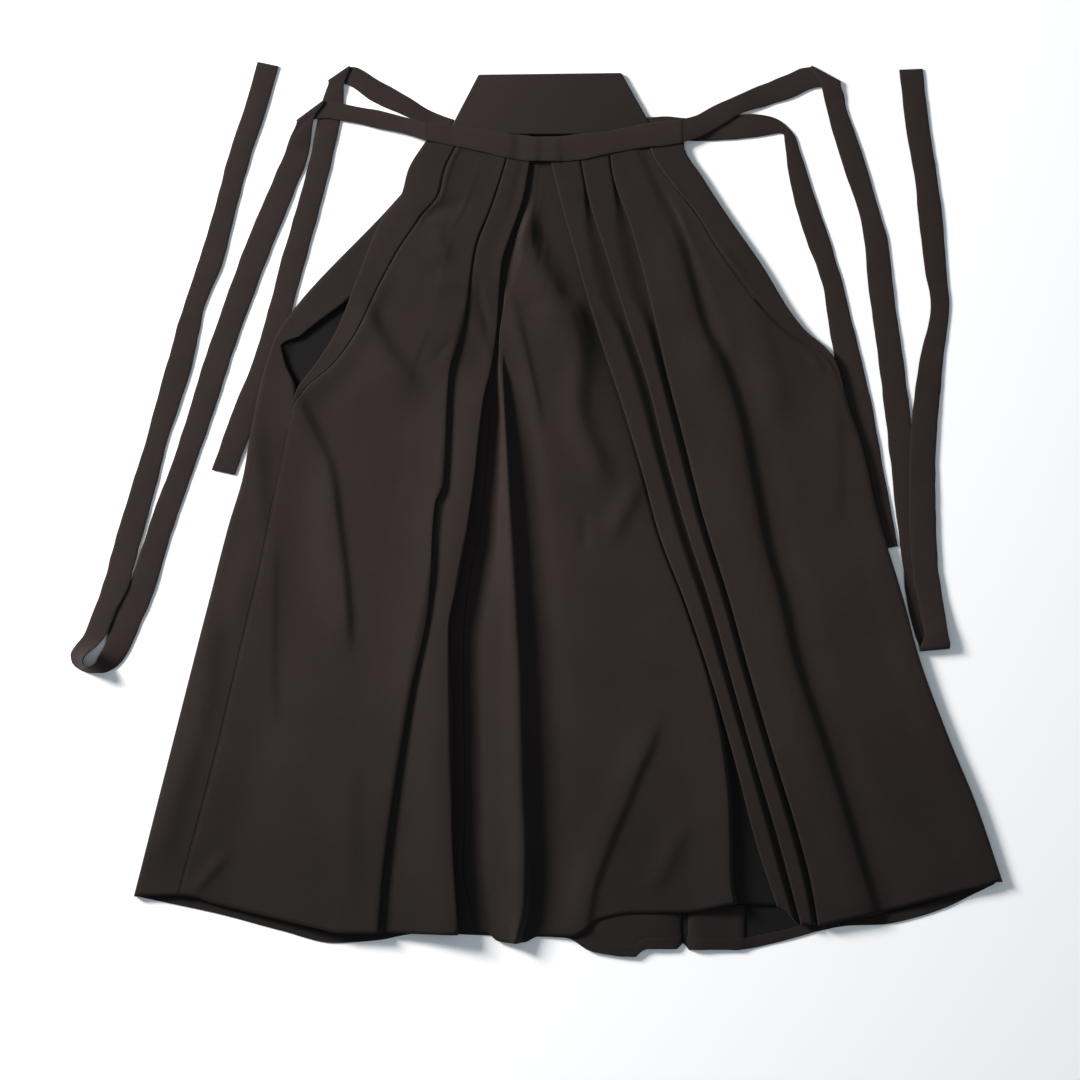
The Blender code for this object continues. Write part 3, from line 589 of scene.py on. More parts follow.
RIGHT_BACK_SHARES = (
    0.12, 0.24, 0.34, 0.42, 0.5, 0.64, 0.78, 0.83, 0.91, 0.925, 0.988, 0.995, 1.0,
)
LEFT_BACK_SHARES = (0.0, 0.008, 0.02, 0.18, 0.32, 0.46, 0.58, 0.68, 0.8, 0.9)
RIGHT_LIFT_REACH = (12, 24)  # the back is lifted at its side, and lies from here on
LEFT_LIFT_REACH = (20, 32)


def columns_of(table):
    return [table_curve(table, i) for i in range(1, len(table[0]))]


right_panel, centre_panel, outer_panel = (
    columns_of(table) for table in (RIGHT_PANEL, CENTRE_PANEL, OUTER_PANEL)
)
print(len(right_panel), len(centre_panel), len(outer_panel), "columns")

# %% [markdown]
# ## Sections of the folded cloth
# A section is the line that the cloth takes from side to side. A fold is a narrow
# half ellipse, seen end on, since it has been pressed. The front of the right leg turns
# over at its side, runs to two pleats that face the centre, and ends at the centre
# seam. The front of the left leg starts there and ends at its own side strip with three
# pleats on the way.

# %% Folds and columns
FOLD_STEPS = 8
FOLD_REACH = 0.5  # a pressed fold sticks out by half of its radius


def turn(x, y, start, end, side):
    """A fold seen end on: its nose reaches x, to the right for side 1, left for -1."""
    radius = abs(end - start) / 2
    reach = FOLD_REACH * radius
    middle = (start + end) / 2
    rise = 1 if end > start else -1
    centre = x - side * (reach + CLOTH / 2)
    angles = [math.pi * (i / FOLD_STEPS - 0.5) for i in range(FOLD_STEPS + 1)]
    return [
        (centre + side * reach * math.cos(a), y, middle + rise * radius * math.sin(a))
        for a in angles
    ]


def between(first, second, share, v):
    """(x, y) of a column of the front, its share of the way from line to line."""
    x_top = mix(LINES[first][0][1], LINES[second][0][1], share)
    x_low = mix(LINES[first][-1][1], LINES[second][-1][1], share)
    y = mix(float(front_waist(x_top)), float(front_hem(x_low)), v)
    return mix(across(first, y), across(second, y), share), y


def front(line, v):
    """(x, y) of the front on a line."""
    return between(line, line, 0, v)


def stretch(start, end, shares, heights):
    """Points at shares of the way from start to end, (x, y) both, at their heights."""
    return [
        (mix(start[0], end[0], share), mix(start[1], end[1], share), height)
        for share, height in zip(shares, heights)
    ]


def back_column(outer, shift, share, v):
    """(x, y) of a column of the back, its share of the way from the side to the seam."""
    ends = []
    for i in (0, -1):
        ends.append(mix(LINES[outer][i][1] + shift, LINES["centre_back"][i][1], share))
    y = mix(float(back_waist(ends[0])), float(back_hem(ends[1])), v)
    return mix(across(outer, y) + shift, across("centre_back", y), share), y


print(FOLD_STEPS, "steps round a fold")

# %% Back sections


def right_back(v):
    """From the edge of the wrap, round the side fold, across the floor to the seam."""
    lift = profile("right_lift", v)
    wrap = profile("right_wrap", v)
    side_x, side_y = back_column("right_outline", 0, 0, v)
    edge = LINES["right_back_edge"]
    edge_y = mix(edge[0][0], edge[-1][0], v)
    edge_x = across("right_back_edge", edge_y)
    points = [
        (edge_x, edge_y, wrap),
        ((edge_x + side_x) / 2, (edge_y + side_y) / 2, wrap),
    ]
    points += turn(side_x, side_y, wrap, FLOOR_LAYER + lift, -1)
    lifted, landed = RIGHT_LIFT_REACH
    points.append((*back_column("right_outline", lifted, 0, v), FLOOR_LAYER + lift))
    for share in (0.0, *RIGHT_BACK_SHARES):
        x, y = back_column("right_outline", landed, share, v)
        points.append((x - (SEAM / 2 if share == 1 else 0), y, FLOOR_LAYER))
    return points


def left_back(v):
    """From the seam across the floor, round the side fold, to the edge of the wrap."""
    lift = profile("left_lift", v)
    wrap = profile("left_wrap", v)
    inset = profile("left_back_inset", v)
    lifted, landed = LEFT_LIFT_REACH
    points = []
    for share in (*LEFT_BACK_SHARES, 1.0):
        x, y = back_column("left_outline", -inset - landed, 1 - share, v)
        points.append((x + (SEAM / 2 if share == 0 else 0), y, FLOOR_LAYER))
    points.append((*back_column("left_outline", -inset - lifted, 0, v), FLOOR_LAYER + lift))
    side_x, side_y = back_column("left_outline", -inset, 0, v)
    points += turn(side_x, side_y, FLOOR_LAYER + lift, wrap, 1)
    edge_x, _ = back_column("left_outline", -profile("left_wrap_inset", v), 0, v)
    points.append((edge_x, side_y, wrap))
    return points


print("points of a back:", len(right_back(0.5)), "and", len(left_back(0.5)))

# %% Right front
STRIP_BACK = 0.2  # the cloth under a side strip turns up this far below its edge
# Beside a side strip: millimetres past its edge, share of the strip's lift.
RIGHT_EDGE_RISE = ((1.0, 0.8), (4.5, 0.95))
LEFT_EDGE_RISE = ((4.5, 1.0), (1.0, 0.95))
# Between two noses: share of the way, share of a pitch.
SHUT_RISE = ((0.1, 1.2), (0.75, -0.1))
VALLEY_CLEAR = 2  # the panel comes down on a pleat this far past its valley
NOSE_CLEAR = 1  # and a layer goes in under a nose from here


def right_front(v):
    """From the side strip, round the side fold, over two pleats to the centre."""
    side = profile("right_side", v)
    pitch = profile("right_pitch", v)
    depth = profile("right_pleat_depth", v)
    layer = [FRONT_BASE + pitch * i for i in range(5)]
    fold_x, fold_y = front("right_side_fold", v)
    fold_x -= profile("right_lap", v)
    strip_x = fold_x + profile("right_strip", v)
    strip_z = side + profile("right_strip_slope", v)
    lift = profile("right_strip_lift", v)
    outer_x, outer_y = front("right_outer_pleat", v)
    inner_x, inner_y = front("right_inner_pleat", v)
    seam_x, seam_y = front("centre_front", v)
    points = [(strip_x, fold_y, strip_z + lift)]
    points += turn(fold_x, fold_y, side + lift, side, -1)
    points.append((strip_x - STRIP_BACK, fold_y, strip_z))
    for reach, share in RIGHT_EDGE_RISE:
        points.append((strip_x + reach, fold_y, strip_z + share * lift))
    valley_x = outer_x - depth
    heights = [float(height(v)) for height in right_panel]
    points += stretch((strip_x, fold_y), (valley_x, outer_y), RIGHT_PANEL_SHARES, heights)
    points.append((valley_x + VALLEY_CLEAR, outer_y, layer[4]))
    points += turn(outer_x, outer_y, layer[4], layer[3], 1)
    points += turn(valley_x, outer_y, layer[3], layer[2], -1)
    points.append((outer_x - NOSE_CLEAR, outer_y, layer[2]))
    shut = profile("pleats_shut", v) * pitch
    for reach, share in SHUT_RISE:
        x, y = mix(outer_x, inner_x, reach), mix(outer_y, inner_y, reach)
        points.append((x, y, layer[2] + share * shut))
    points += turn(inner_x, inner_y, layer[2], layer[1], 1)
    points += turn(inner_x - depth, inner_y, layer[1], layer[0], -1)
    points.append((seam_x - SEAM / 2, seam_y, layer[0]))
    return points


print("points of the right front:", len(right_front(0.5)))

# %% Left front
RIDGE_LINES = (
    "left_gap_edge", "left_ridge", "left_ridge_side", "left_trough", "left_trough_side",
)
PLEAT_LINES = ("left_inner_pleat", "left_middle_pleat", "left_outer_pleat")
GAP_RISE = 0.3  # the cloth in the middle of the gap, above the seam
NOSE_RISE = 0.3  # the cloth that goes in under a nose, above the lowest layer
HIDDEN_REACH = 3.5  # the centre panel goes on this far under the first pleat


def pleat(nose_x, y, depth, base, pitch):
    """Under the nose, round the valley, back, and round the nose on to the top."""
    valley = turn(nose_x + depth, y, base, base + pitch, 1)
    nose = turn(nose_x, y, base + pitch, base + 2 * pitch, -1)
    return valley + nose


def left_front(v):
    """From the centre seam, over the ridge and wide panel, three pleats, the strip."""
    side = profile("left_side", v)
    pitch = profile("left_pitch", v)
    top = LEFT_BASE + 2 * pitch
    heights = [float(height(v)) for height in centre_panel]
    seam_x, seam_y = front("centre_front", v)
    gap_x, _ = front("left_gap_edge", v)
    points = [
        (seam_x + SEAM / 2, seam_y, FRONT_BASE),
        ((seam_x + gap_x) / 2, seam_y, FRONT_BASE + GAP_RISE),
    ]
    for name, height in zip(RIDGE_LINES, heights):
        points.append((*front(name, v), height))
    for share, height in zip(CENTRE_PANEL_SHARES, heights[5:]):
        points.append((*between("left_trough_side", "centre_panel_edge", share, v), height))
    x, y = front("centre_panel_edge", v)
    points.append((x, y, heights[9]))
    points.append((x + HIDDEN_REACH, y, LEFT_BASE + profile("hidden_rise", v)))

    places = [front(name, v) for name in PLEAT_LINES]
    descent = profile("left_descent", v)
    for (x, y), (next_x, next_y) in zip(places, places[1:]):
        width = next_x - x
        points += pleat(x, y, LEFT_PLEAT_SHARE * width, LEFT_BASE, pitch)
        points.append((x + descent * width, mix(y, next_y, descent), top))
        points.append((next_x - NOSE_CLEAR, next_y, LEFT_BASE + NOSE_RISE))
    x, y = places[-1]
    points += pleat(x, y, profile("outer_pleat_depth", v), LEFT_BASE, pitch)

    fold_y = mix(FRONT_WAIST[-1][1], FRONT_HEM[-1][1], v)
    fold_x = across("left_outline", fold_y) - profile("left_front_inset", v)
    strip_x = fold_x - profile("left_strip", v)
    lift = profile("left_strip_lift", v)
    trough = front("left_panel_trough", v)
    heights = [float(height(v)) for height in outer_panel]
    points += stretch((x, y), trough, OUTER_PANEL_SHARES, heights)
    points += stretch(trough, (strip_x, fold_y), SIDE_PANEL_SHARES, heights[3:])
    rise = profile("left_edge_rise", v) * lift
    for reach, share in LEFT_EDGE_RISE:
        points.append((strip_x - reach, fold_y, side + share * rise))
    points.append((strip_x + STRIP_BACK, fold_y, side))
    points += turn(fold_x, fold_y, side, side + lift, 1)
    points.append((strip_x, fold_y, side + lift))
    return points


print("points of the left front:", len(left_front(0.5)))

# %% [markdown]
# ## Creases
# Cloth that has been folded away and laid out again keeps soft creases. Each one is a
# short route with a spread on either side and a height, below zero for a trough and
# above for a ridge, and it fades at both ends. A crease moves the upper layers more
# than the lower ones, so layers never pass through each other.

# %% Creases
RIGHT_CREASES = (
    # spread to the left, spread to the right, height, route from waist to hem
    (26, 4, 3.2, ((6, 440), (-2, 412), (-15, 355), (-31, 309), (-39, 283), (-43, 250),
     (-46, 212))),
    (30, 8, 5.6, ((-210, 256), (-195, 227), (-182, 200), (-166, 174), (-147, 151), (-120, 123))),
    (5, 5, -1.2, ((-90, 197), (-106, 183), (-122, 168))),
    (8, 5, -1.4, ((-67, 277), (-64, 242), (-59, 217), (-54, 194), (-46, 174))),
    (26, 6, 4.2, ((-288, 160), (-273, 121), (-253, 82), (-237, 43), (-230, -8), (-222, -70),
     (-217, -133), (-215, -180))),
    (22, 10, 2.6, ((-324, 120), (-321, 79), (-319, 33), (-316, -3), (-322, -45))),
    (16, 12, 1.8, ((-315, -13), (-331, -59), (-340, -105), (-350, -162))),
    (22, 7, 1.6, ((-301, -13), (-304, -105), (-304, -197), (-299, -266))),
    (14, 14, 2.4, ((-370, -93), (-379, -197), (-391, -260), (-409, -312), (-425, -369),
     (-437, -427))),
    (9, 5, 1.8, ((-345, -388), (-367, -411), (-383, -429), (-400, -450))),
    (7, 7, -2.2, ((-139, 316), (-128, 333), (-108, 345), (-84, 349), (-66, 345))),
    (22, 8, 2.4, ((-117, 327), (-110, 304), (-101, 277))),
    (14, 8, 1.6, ((-159, 291), (-143, 273), (-115, 259), (-80, 254))),
    (24, 12, 1.4, ((-212, -266), (-215, -335), (-214, -404), (-212, -484))),
    (44, 4, 9.6, ((-50, 175), (-56, 137), (-71, 22), (-93, -93), (-101, -151), (-100, -220),
     (-98, -312), (-96, -392), (-91, -473), (-90, -565))),
    (60, 4, 3.0, ((-71, 22), (-93, -93), (-101, -151), (-100, -220), (-98, -312), (-96, -392),
     (-91, -473), (-90, -565))),
    (34, 4, 2.4, ((-78, 252), (-90, 206), (-101, 148), (-110, 22), (-120, -59), (-148, -208),
     (-172, -369), (-181, -450), (-184, -542))),
    (9, 6, 1.6, ((-71, 240), (-62, 206), (-53, 181), (-55, 143))),
)
LEFT_CREASES = (
    (16, 13, 4.4, ((38, 217), (48, 189), (50, 158), (47, 125), (51, 97), (63, 71), (76, 40),
     (90, 8))),
    (26, 20, 6.4, ((-38, 372), (-27, 345), (-16, 322), (-5, 303), (6, 284), (16, 263), (27, 240),
     (38, 217), (47, 190), (50, 158))),
    (11, 5, 2.2, ((-36, 266), (-24, 223), (-15, 189), (-7, 154), (0, 123), (6, 79))),
    (14, 10, 2.6, ((124, 45), (109, 13), (94, -15), (80, -47))),
    (24, 7, 3.8, ((143, -227), (137, -248), (129, -271), (116, -298), (103, -332), (87, -369),
     (74, -404), (64, -432), (60, -455), (48, -519))),
    (15, 10, 2.2, ((182, -342), (160, -386), (145, -415), (126, -455))),
    (7, 7, -1.2, ((53, 5), (56, -24), (55, -54))),
    (4, 6, 1.2, ((10, 374), (35, 366), (62, 352))),
    (26, 8, 2.8, ((163, 360), (168, 304), (174, 269), (181, 237), (189, 206), (198, 177),
     (207, 137))),
    (42, 16, 6.2, ((204, 222), (211, 171), (234, 100), (242, 56), (250, 10), (259, -36),
     (277, -105), (291, -169), (328, -278), (364, -393), (388, -463), (400, -500))),
    (12, 3, 1, ((131, 406), (145, 381), (163, 367), (177, 346))),
    (12, 3, 1, ((189, 305), (214, 298), (232, 277), (246, 254))),
    (22, 14, 2.2, ((235, 268), (251, 220), (262, 185), (273, 143), (283, 79))),
    (18, 8, 1.6, ((340, 143), (344, 79), (345, 33), (347, -24))),
    (5, 3, 1.4, ((310, 179), (322, 169), (334, 160))),
)
print(len(RIGHT_CREASES) + len(LEFT_CREASES), "creases")

# %% Height of the creases
FADE = 60.0  # millimetres over which a crease rises from nothing at each end
FADE_SHARE = 0.4  # of a short crease's length, where that is less
ROUTE_STEPS = 3  # pieces of smooth curve between two points of a route


def smooth_route(route):
    """More points on a smooth curve through those of the route."""
    route = np.array(route, float)
    keys = running(steps_along(route))
    return through(keys, route, np.linspace(0, keys[-1], ROUTE_STEPS * (len(route) - 1) + 1))


def crease_height(points, creases):
    """Height that the creases add at each point, in millimetres."""
    added = np.zeros(len(points))
    for left, right, height, route in creases:
        route = smooth_route(route)
        lengths = steps_along(route)
        total = lengths.sum()
        best = np.full(len(points), np.inf)
        width = np.full(len(points), left, float)
        where = np.zeros(len(points))
        start = 0.0
        for a, b, length in zip(route, route[1:], lengths):
            along = (b - a) / length
            offset = points[:, :2] - a
            t = np.clip(offset @ along, 0, length)
            gap = np.linalg.norm(offset - t[:, None] * along, axis=1)
            cross = along[0] * offset[:, 1] - along[1] * offset[:, 0]
            closer = gap < best
            best = np.where(closer, gap, best)
            width = np.where(closer, np.where(cross > 0, right, left), width)
            where = np.where(closer, start + t, where)
            start += length
        fade = min(FADE, FADE_SHARE * total)
        rise = np.clip(where / fade, 0, 1) * np.clip((total - where) / fade, 0, 1)
        rise = rise * rise * (3 - 2 * rise)
        added += height * rise * np.exp(-((best / width) ** 2))
    return added


print("each fades over", FADE, "mm at its ends")

# %% [markdown]
# ## Panels
# A grid is made with one vertex for each step across and down the cloth, and its
# vertices are put on the sections. Solidify gives the cloth its thickness. The UV map
# holds the length along the cloth, so that the threads follow it round the folds.

# %% Rows and steps
ROW_BREAKS = (0.0, 0.08, 0.107, 0.217, 0.266, 0.2715, 0.3, 0.337, 0.36, 1.0)
ROW_STEP = 0.006  # of the way from waist to hem
SHORTEST = 1e-6  # a step across, where two points of a section meet


def row_fractions():
    """Evenly spaced rows that meet every fraction at which a profile turns."""
    rows = []
    for a, b in zip(ROW_BREAKS, ROW_BREAKS[1:]):
        steps = max(1, round((b - a) / ROW_STEP))
        rows += [mix(a, b, i / steps) for i in range(steps)]
    return rows + [1.0]


def refine(points, counts):
    """Points between the section's own, on a smooth curve through them."""
    points = np.array(points, float)
    keys = running(np.maximum(steps_along(points), SHORTEST))
    return through(keys, points, divided(keys, counts))


print(len(row_fractions()), "rows")

# %% Cloth from a grid


def cloth_grid(name, surface, cloths, thickness, shade_columns=range(0)):
    """A grid whose vertices take the rows of the surface, as a shell of cloth.
    The columns of faces that it is given carry painted shade, the dark cloth, on both sides."""
    rows, columns = surface.shape[:2]
    mesh = bmesh.new()
    layer = mesh.loops.layers.uv.new("cloth")
    bmesh.ops.create_grid(
        mesh, x_segments=columns - 1, y_segments=rows - 1, size=1.0, calc_uvs=False
    )
    mesh.verts.ensure_lookup_table()
    ordered = sorted(mesh.verts, key=lambda vert: (-round(vert.co.y, 6), vert.co.x))
    lengths_across = np.zeros((rows, columns))
    lengths_across[:, 1:] = np.cumsum(steps_along(surface, 1), axis=1)
    lengths_across -= lengths_across.mean(axis=1, keepdims=True)
    lengths_down = np.zeros((rows, columns))
    lengths_down[1:] = np.cumsum(steps_along(surface), axis=0)
    place_of = {}
    for i, vert in enumerate(ordered):
        row, column = divmod(i, columns)
        vert.co = Vector(surface[row, column]) * MM
        place_of[vert] = (row, column)
    for face in mesh.faces:
        face.smooth = True
        face.material_index = int(min(place_of[v][1] for v in face.verts) in shade_columns)
        for loop in face.loops:
            row, column = place_of[loop.vert]
            loop[layer].uv = (
                lengths_across[row, column] * MM,
                lengths_down[row, column] * MM,
            )
    obj = finished(name, mesh, cloths)
    wall = obj.modifiers.new("wall", "SOLIDIFY")
    wall.thickness = thickness * MM
    wall.offset = 0.0
    wall.use_even_offset = False
    wall.material_offset = 0 if shade_columns else len(cloths) - 1
    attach(obj, "root")
    return obj


print("cloth", CLOTH, "mm thick")

# %% Panels
BACK_STEP, FRONT_STEP = 6.0, 3.4  # millimetres from column to column
SAMPLES = 12  # rows on which the columns are counted
CREASE_FROM, CREASE_OVER = 2.0, 2.5  # a crease takes hold above this height, over this rise
WRINKLE = 0.45  # millimetres, the uneven lie of the cloth between its creases
WRINKLE_ACROSS, WRINKLE_DOWN, WRINKLE_SEED = 0.018, 0.011, 3.0
# The step under the first left pleat is painted shade: its faces get the dark cloth.
HIDDEN_STEP = 12  # the step of the left front that runs from the panel's edge under a pleat
# The backs lie inside up, and their inside is painted shade, the dark cloth.
INSIDE_UP = (shade_cloth, panel_cloth)
# The left front lies outside up; its second cloth is painted shade for the hidden step.
OUTSIDE_UP = (panel_cloth, shade_cloth)
PANELS = (
    # node, section, creases, step, cloths, step of the section painted in shade
    ("right_leg_back", right_back, RIGHT_CREASES, BACK_STEP, INSIDE_UP, None),
    ("left_leg_back", left_back, LEFT_CREASES, BACK_STEP, INSIDE_UP, None),
    ("right_leg_front", right_front, RIGHT_CREASES, FRONT_STEP, (panel_cloth,), None),
    ("left_leg_front", left_front, LEFT_CREASES, FRONT_STEP, OUTSIDE_UP, HIDDEN_STEP),
)


def wrinkle(x, y):
    return noise.noise(Vector((x * WRINKLE_ACROSS, y * WRINKLE_DOWN, WRINKLE_SEED)))


def panel(node, section, creases, step, cloths, shade_step):
    sections = [section(v) for v in row_fractions()]
    sample = np.array(sections[:: max(1, len(sections) // SAMPLES)] + [sections[-1]])
    widest = steps_along(sample, 1).max(axis=0)
    counts = [max(1, int(round(width / step))) for width in widest]
    surface = np.array([refine(points, counts) for points in sections])
    flat = surface.reshape(-1, 3)
    weight = np.clip((flat[:, 2] - CREASE_FROM) / CREASE_OVER, 0, 1)
    added = crease_height(flat, creases)
    added += WRINKLE * np.array([wrinkle(x, y) for x, y, _ in flat])
    flat[:, 2] += added * weight
    # The columns of the hidden step are painted shade.
    shade_columns = range(0)
    if shade_step is not None:
        first = sum(counts[:shade_step])
        shade_columns = range(first, first + counts[shade_step])
    obj = cloth_grid("cloth_" + node, surface, cloths, CLOTH, shade_columns)
    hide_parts(node)
    widths = steps_along(surface, 1).sum(axis=1)
    lengths = steps_along(surface).sum(axis=0)
    area = widths.mean() * lengths.mean() * MM * MM
    print(node, surface.shape[:2], "waist", round(widths[0]), "hem", round(widths[-1]))
    print("    length", round(lengths.mean()), "area", round(area, 3), "square metres")


for row in PANELS:
    panel(*row)

# %% [markdown]
# ## Bands and ties
# A tie is cloth folded into a flat band. Each row of a table gives x and y of the
# band's two edges, and their heights where the band doesn't rest on the floor. A row of
# eight values is a flat fold, where the band turns over and goes on above itself. It
# says which way the fold points and the heights of its two layers.

# %% Band tables
BANDS = {
    "front_waistband": ((-127, 422, -127, 443, 6.8, 6.4), (-123.9, 422, -123.9, 443, 7.14, 6.74),
     (-93, 416, -93, 439, 7.3, 6.9), (-59, 409, -56, 435, 8.0, 7.7),
     (-30, 402, -28, 430, 8.1, 7.8), (-23, 401, -22, 429.5, 7.0, 6.9),
     (-2, 399, 0, 427.3, 8.0, 7.0), (5, 399, 6, 427.3, 6.9, 6.6), (24, 399, 23, 427.6, 7.7, 6.6),
     (31, 399, 30, 428, 6.5, 6.2), (54, 401, 54, 431, 6.7, 6.2), (77, 406, 79, 433, 6.8, 6.3),
     (102, 411, 103, 438, 7.0, 6.5), (129, 415, 128, 443, 7.2, 6.8),
     (148, 417, 150, 445, 7.2, 6.8), (165, 419.5, 165, 446.7, 7.15, 6.75),
     (168.8, 420, 168.8, 447, 6.85, 6.45)),
    "front_tie_right": ((-123.9, 422, -123.9, 443, 7.2, 6.8), (-156, 432, -154, 451, 4.4, 3.8),
     (-189, 439, -187, 459, 2.8, 2.8), (-222, 446, -220, 465, 2.7, 2.7),
     (-241, 449, -233, 467, 2.7, 2.7), (-275, 446, -244, 469, -0.6, 0.8, 2.7, 4.7),
     (-283, 427, -254, 451, 1.8, 4.6), (-290, 407, -260, 413), (-307, 367, -277, 367),
     (-336, 298, -305, 298), (-361, 229, -331, 229), (-381, 171, -352, 171),
     (-398, 116, -369, 116), (-421, 45, -394, 45), (-439, -1, -410, -1), (-454, -47, -425, -47),
     (-466, -82, -435, -82), (-477, -105, -443, -105), (-490, -135, -455, -133),
     (-497, -160, -472, -169, 4.0, 0.8), (-502, -169, -486, -184, 11.0, 0.8),
     (-505, -177, -498, -188, 19.0, 0.8), (-512, -181, -511, -188, 22.0, 0.8),
     (-518, -178, -525, -184, 19.0, 0.8), (-519, -173, -533, -177, 15.0, 0.8),
     (-515, -166, -535, -168, 10.0, 0.8), (-505, -158, -530, -158, 6.0, 0.8),
     (-495, -147, -520, -145, 3.4, 0.8), (-483, -117, -509, -118, 2.8, 1.4),
     (-471, -95, -500, -95, 2.8, 1.4), (-455, -40, -485, -40), (-438, 22, -466, 22),
     (-422, 84, -447, 84), (-408, 125, -436, 125), (-394, 171, -423, 171), (-382, 228, -407, 228),
     (-360, 284, -388, 284), (-346, 340, -371, 340), (-327, 408, -353, 408),
     (-309, 462, -335, 462), (-296, 509, -320, 514)),
    "front_tie_left": ((165.5, 419.5, 165.5, 446.7, 6.95, 6.55), (190, 428, 182, 451, 5.0, 5.0),
     (212, 440, 202, 462, 3.2, 3.2), (237, 455, 229, 474, 2.6, 2.6), (271, 465, 263, 489),
     (298, 474, 290, 500), (317, 483, 306, 507), (350, 491, 317, 509, 0.48, 0.88, 0.8, 2.8),
     (354, 476, 327, 489, 1.4, 2.9), (355, 466, 333, 466, 0.8, 1.2), (361, 448, 337, 448),
     (375, 408, 349, 408), (385, 375, 359, 377), (397, 334, 373, 334), (405, 305, 378, 304),
     (410, 258, 382, 258), (422, 171, 394, 171), (436, 59, 407, 59), (443, -13, 415, -13),
     (451, -59, 421, -59), (458, -110, 427, -110), (468, -145, 436, -145),
     (475, -160, 441, -163, 0.0, -1.0, 0.8, 8.0), (473, -146, 446, -146, 8.0, 8.0),
     (470, -123, 442, -123, 5.0, 5.0), (462, -66, 432, -66, 2.8, 2.8),
     (459, -3, 429, -3, 2.4, 2.8), (459, 47, 429, 47, 2.0, 2.8), (461, 99, 432, 99, 1.6, 2.8),
     (465, 137, 436, 137, 1.0, 1.6), (468, 171, 441, 171), (475, 235, 454, 235),
     (472, 270, 448, 270), (469, 315, 442, 315), (462, 375, 436, 375), (452, 440, 425, 440),
     (444, 506, 418, 505)),
    "back_tie_right": ((-101.9, 431, -93.8, 447, 2.5, 2.5), (-128, 442, -120, 457),
     (-156, 454, -151, 476), (-189, 469, -182, 493), (-222, 489, -208, 508),
     (-239, 492, -214, 509, -0.56, 0.83, 0.8, 2.8), (-241, 482, -221, 486, 1.4, 2.9),
     (-245, 471, -221, 472), (-251, 446, -225, 446), (-261, 399, -235, 399),
     (-277, 340, -250, 340), (-294, 282, -266, 282), (-306, 235, -279, 235),
     (-325, 171, -299, 171), (-348, 114, -320, 114), (-361, 79, -331, 79), (-373, 45, -346, 39)),
    "back_tie_left": ((137.2, 432, 127.1, 450, 2.5, 2.5), (156, 427, 152, 451, 1.2, 1.2),
     (183, 423, 179, 449), (214, 424, 212, 451), (248, 427, 248, 454), (269, 430, 267, 452),
     (281, 432, 278, 448), (285, 430, 290, 438), (286, 423, 298, 428), (287, 413, 302, 416),
     (289, 394, 308, 398), (298, 352, 322, 353), (312, 305, 339, 306), (325, 272, 348, 274),
     (330, 255, 354, 255), (335, 223, 361, 223), (343, 176, 373, 176), (359, 109, 388, 109),
     (369, 59, 397, 59), (379, 12, 406, 12), (391, -48, 416, -43)),
}
print(len(BANDS), "bands")

# %% Rows of a band
FLOOR_VALUES, FLAT_FOLD_VALUES = 4, 8
BAND_LIFT = 0.8  # millimetres
BAND_LIFT_SCALE = 0.03
BAND_TWIST_SCALE = 0.9
BAND_WAVER = 0.03  # of the band's width
BAND_WAVER_SCALE, BAND_WAVER_SEED = 0.05, 9.0


def flat_fold(row):
    """Rows round a flat fold, from its lower layer to its upper one."""
    px, py, qx, qy, out_x, out_y, low, high = row
    radius = (high - low) / 2
    rows = []
    for i in range(FOLD_STEPS + 1):
        angle = math.pi * (i / FOLD_STEPS - 0.5)
        reach = radius * (math.cos(angle) - 1)
        z = low + radius * (1 + math.sin(angle))
        shift = np.array((out_x * reach, out_y * reach, z))
        rows.append((np.array((px, py, 0)) + shift, np.array((qx, qy, 0)) + shift))
    return rows


def soften(surface, thickness):
    """The uneven lie of a band: it lifts and twists a little, and its edges waver."""
    for row in surface:
        lengthwise = row[-1] - row[0]
        x, y, _ = row.mean(axis=0)
        for i, point in enumerate(row):
            share = i / (len(row) - 1)
            dome = 1 - (2 * share - 1) ** 2
            spot = (x * BAND_LIFT_SCALE, y * BAND_LIFT_SCALE, share * BAND_TWIST_SCALE)
            lift = noise.noise(Vector(spot))
            point[2] += BAND_LIFT * (0.5 * dome + 0.5 * lift) * thickness / TIE
        spot = (x * BAND_WAVER_SCALE, y * BAND_WAVER_SCALE, BAND_WAVER_SEED)
        waver = BAND_WAVER * noise.noise(Vector(spot))
        row[0] += waver * lengthwise
        row[-1] -= waver * lengthwise


def band_edges(table):
    """The band's two edges, row by row."""
    edges = []
    for row in table:
        if len(row) == FLAT_FOLD_VALUES:
            edges += flat_fold(row)
            continue
        heights = (REST, REST) if len(row) == FLOOR_VALUES else row[4:]
        edges.append(((*row[:2], heights[0]), (*row[2:4], heights[1])))
    return np.array(edges, float)


for name, table in BANDS.items():
    print(name, len(band_edges(table)), "rows")

# %% Band builder
BAND_COLUMNS = 8
BAND_STEP = 4.0  # millimetres from row to row
BAND_ROUND, BAND_ANGLE = 0.0005, 50  # metres that an edge is rounded, where it is sharper


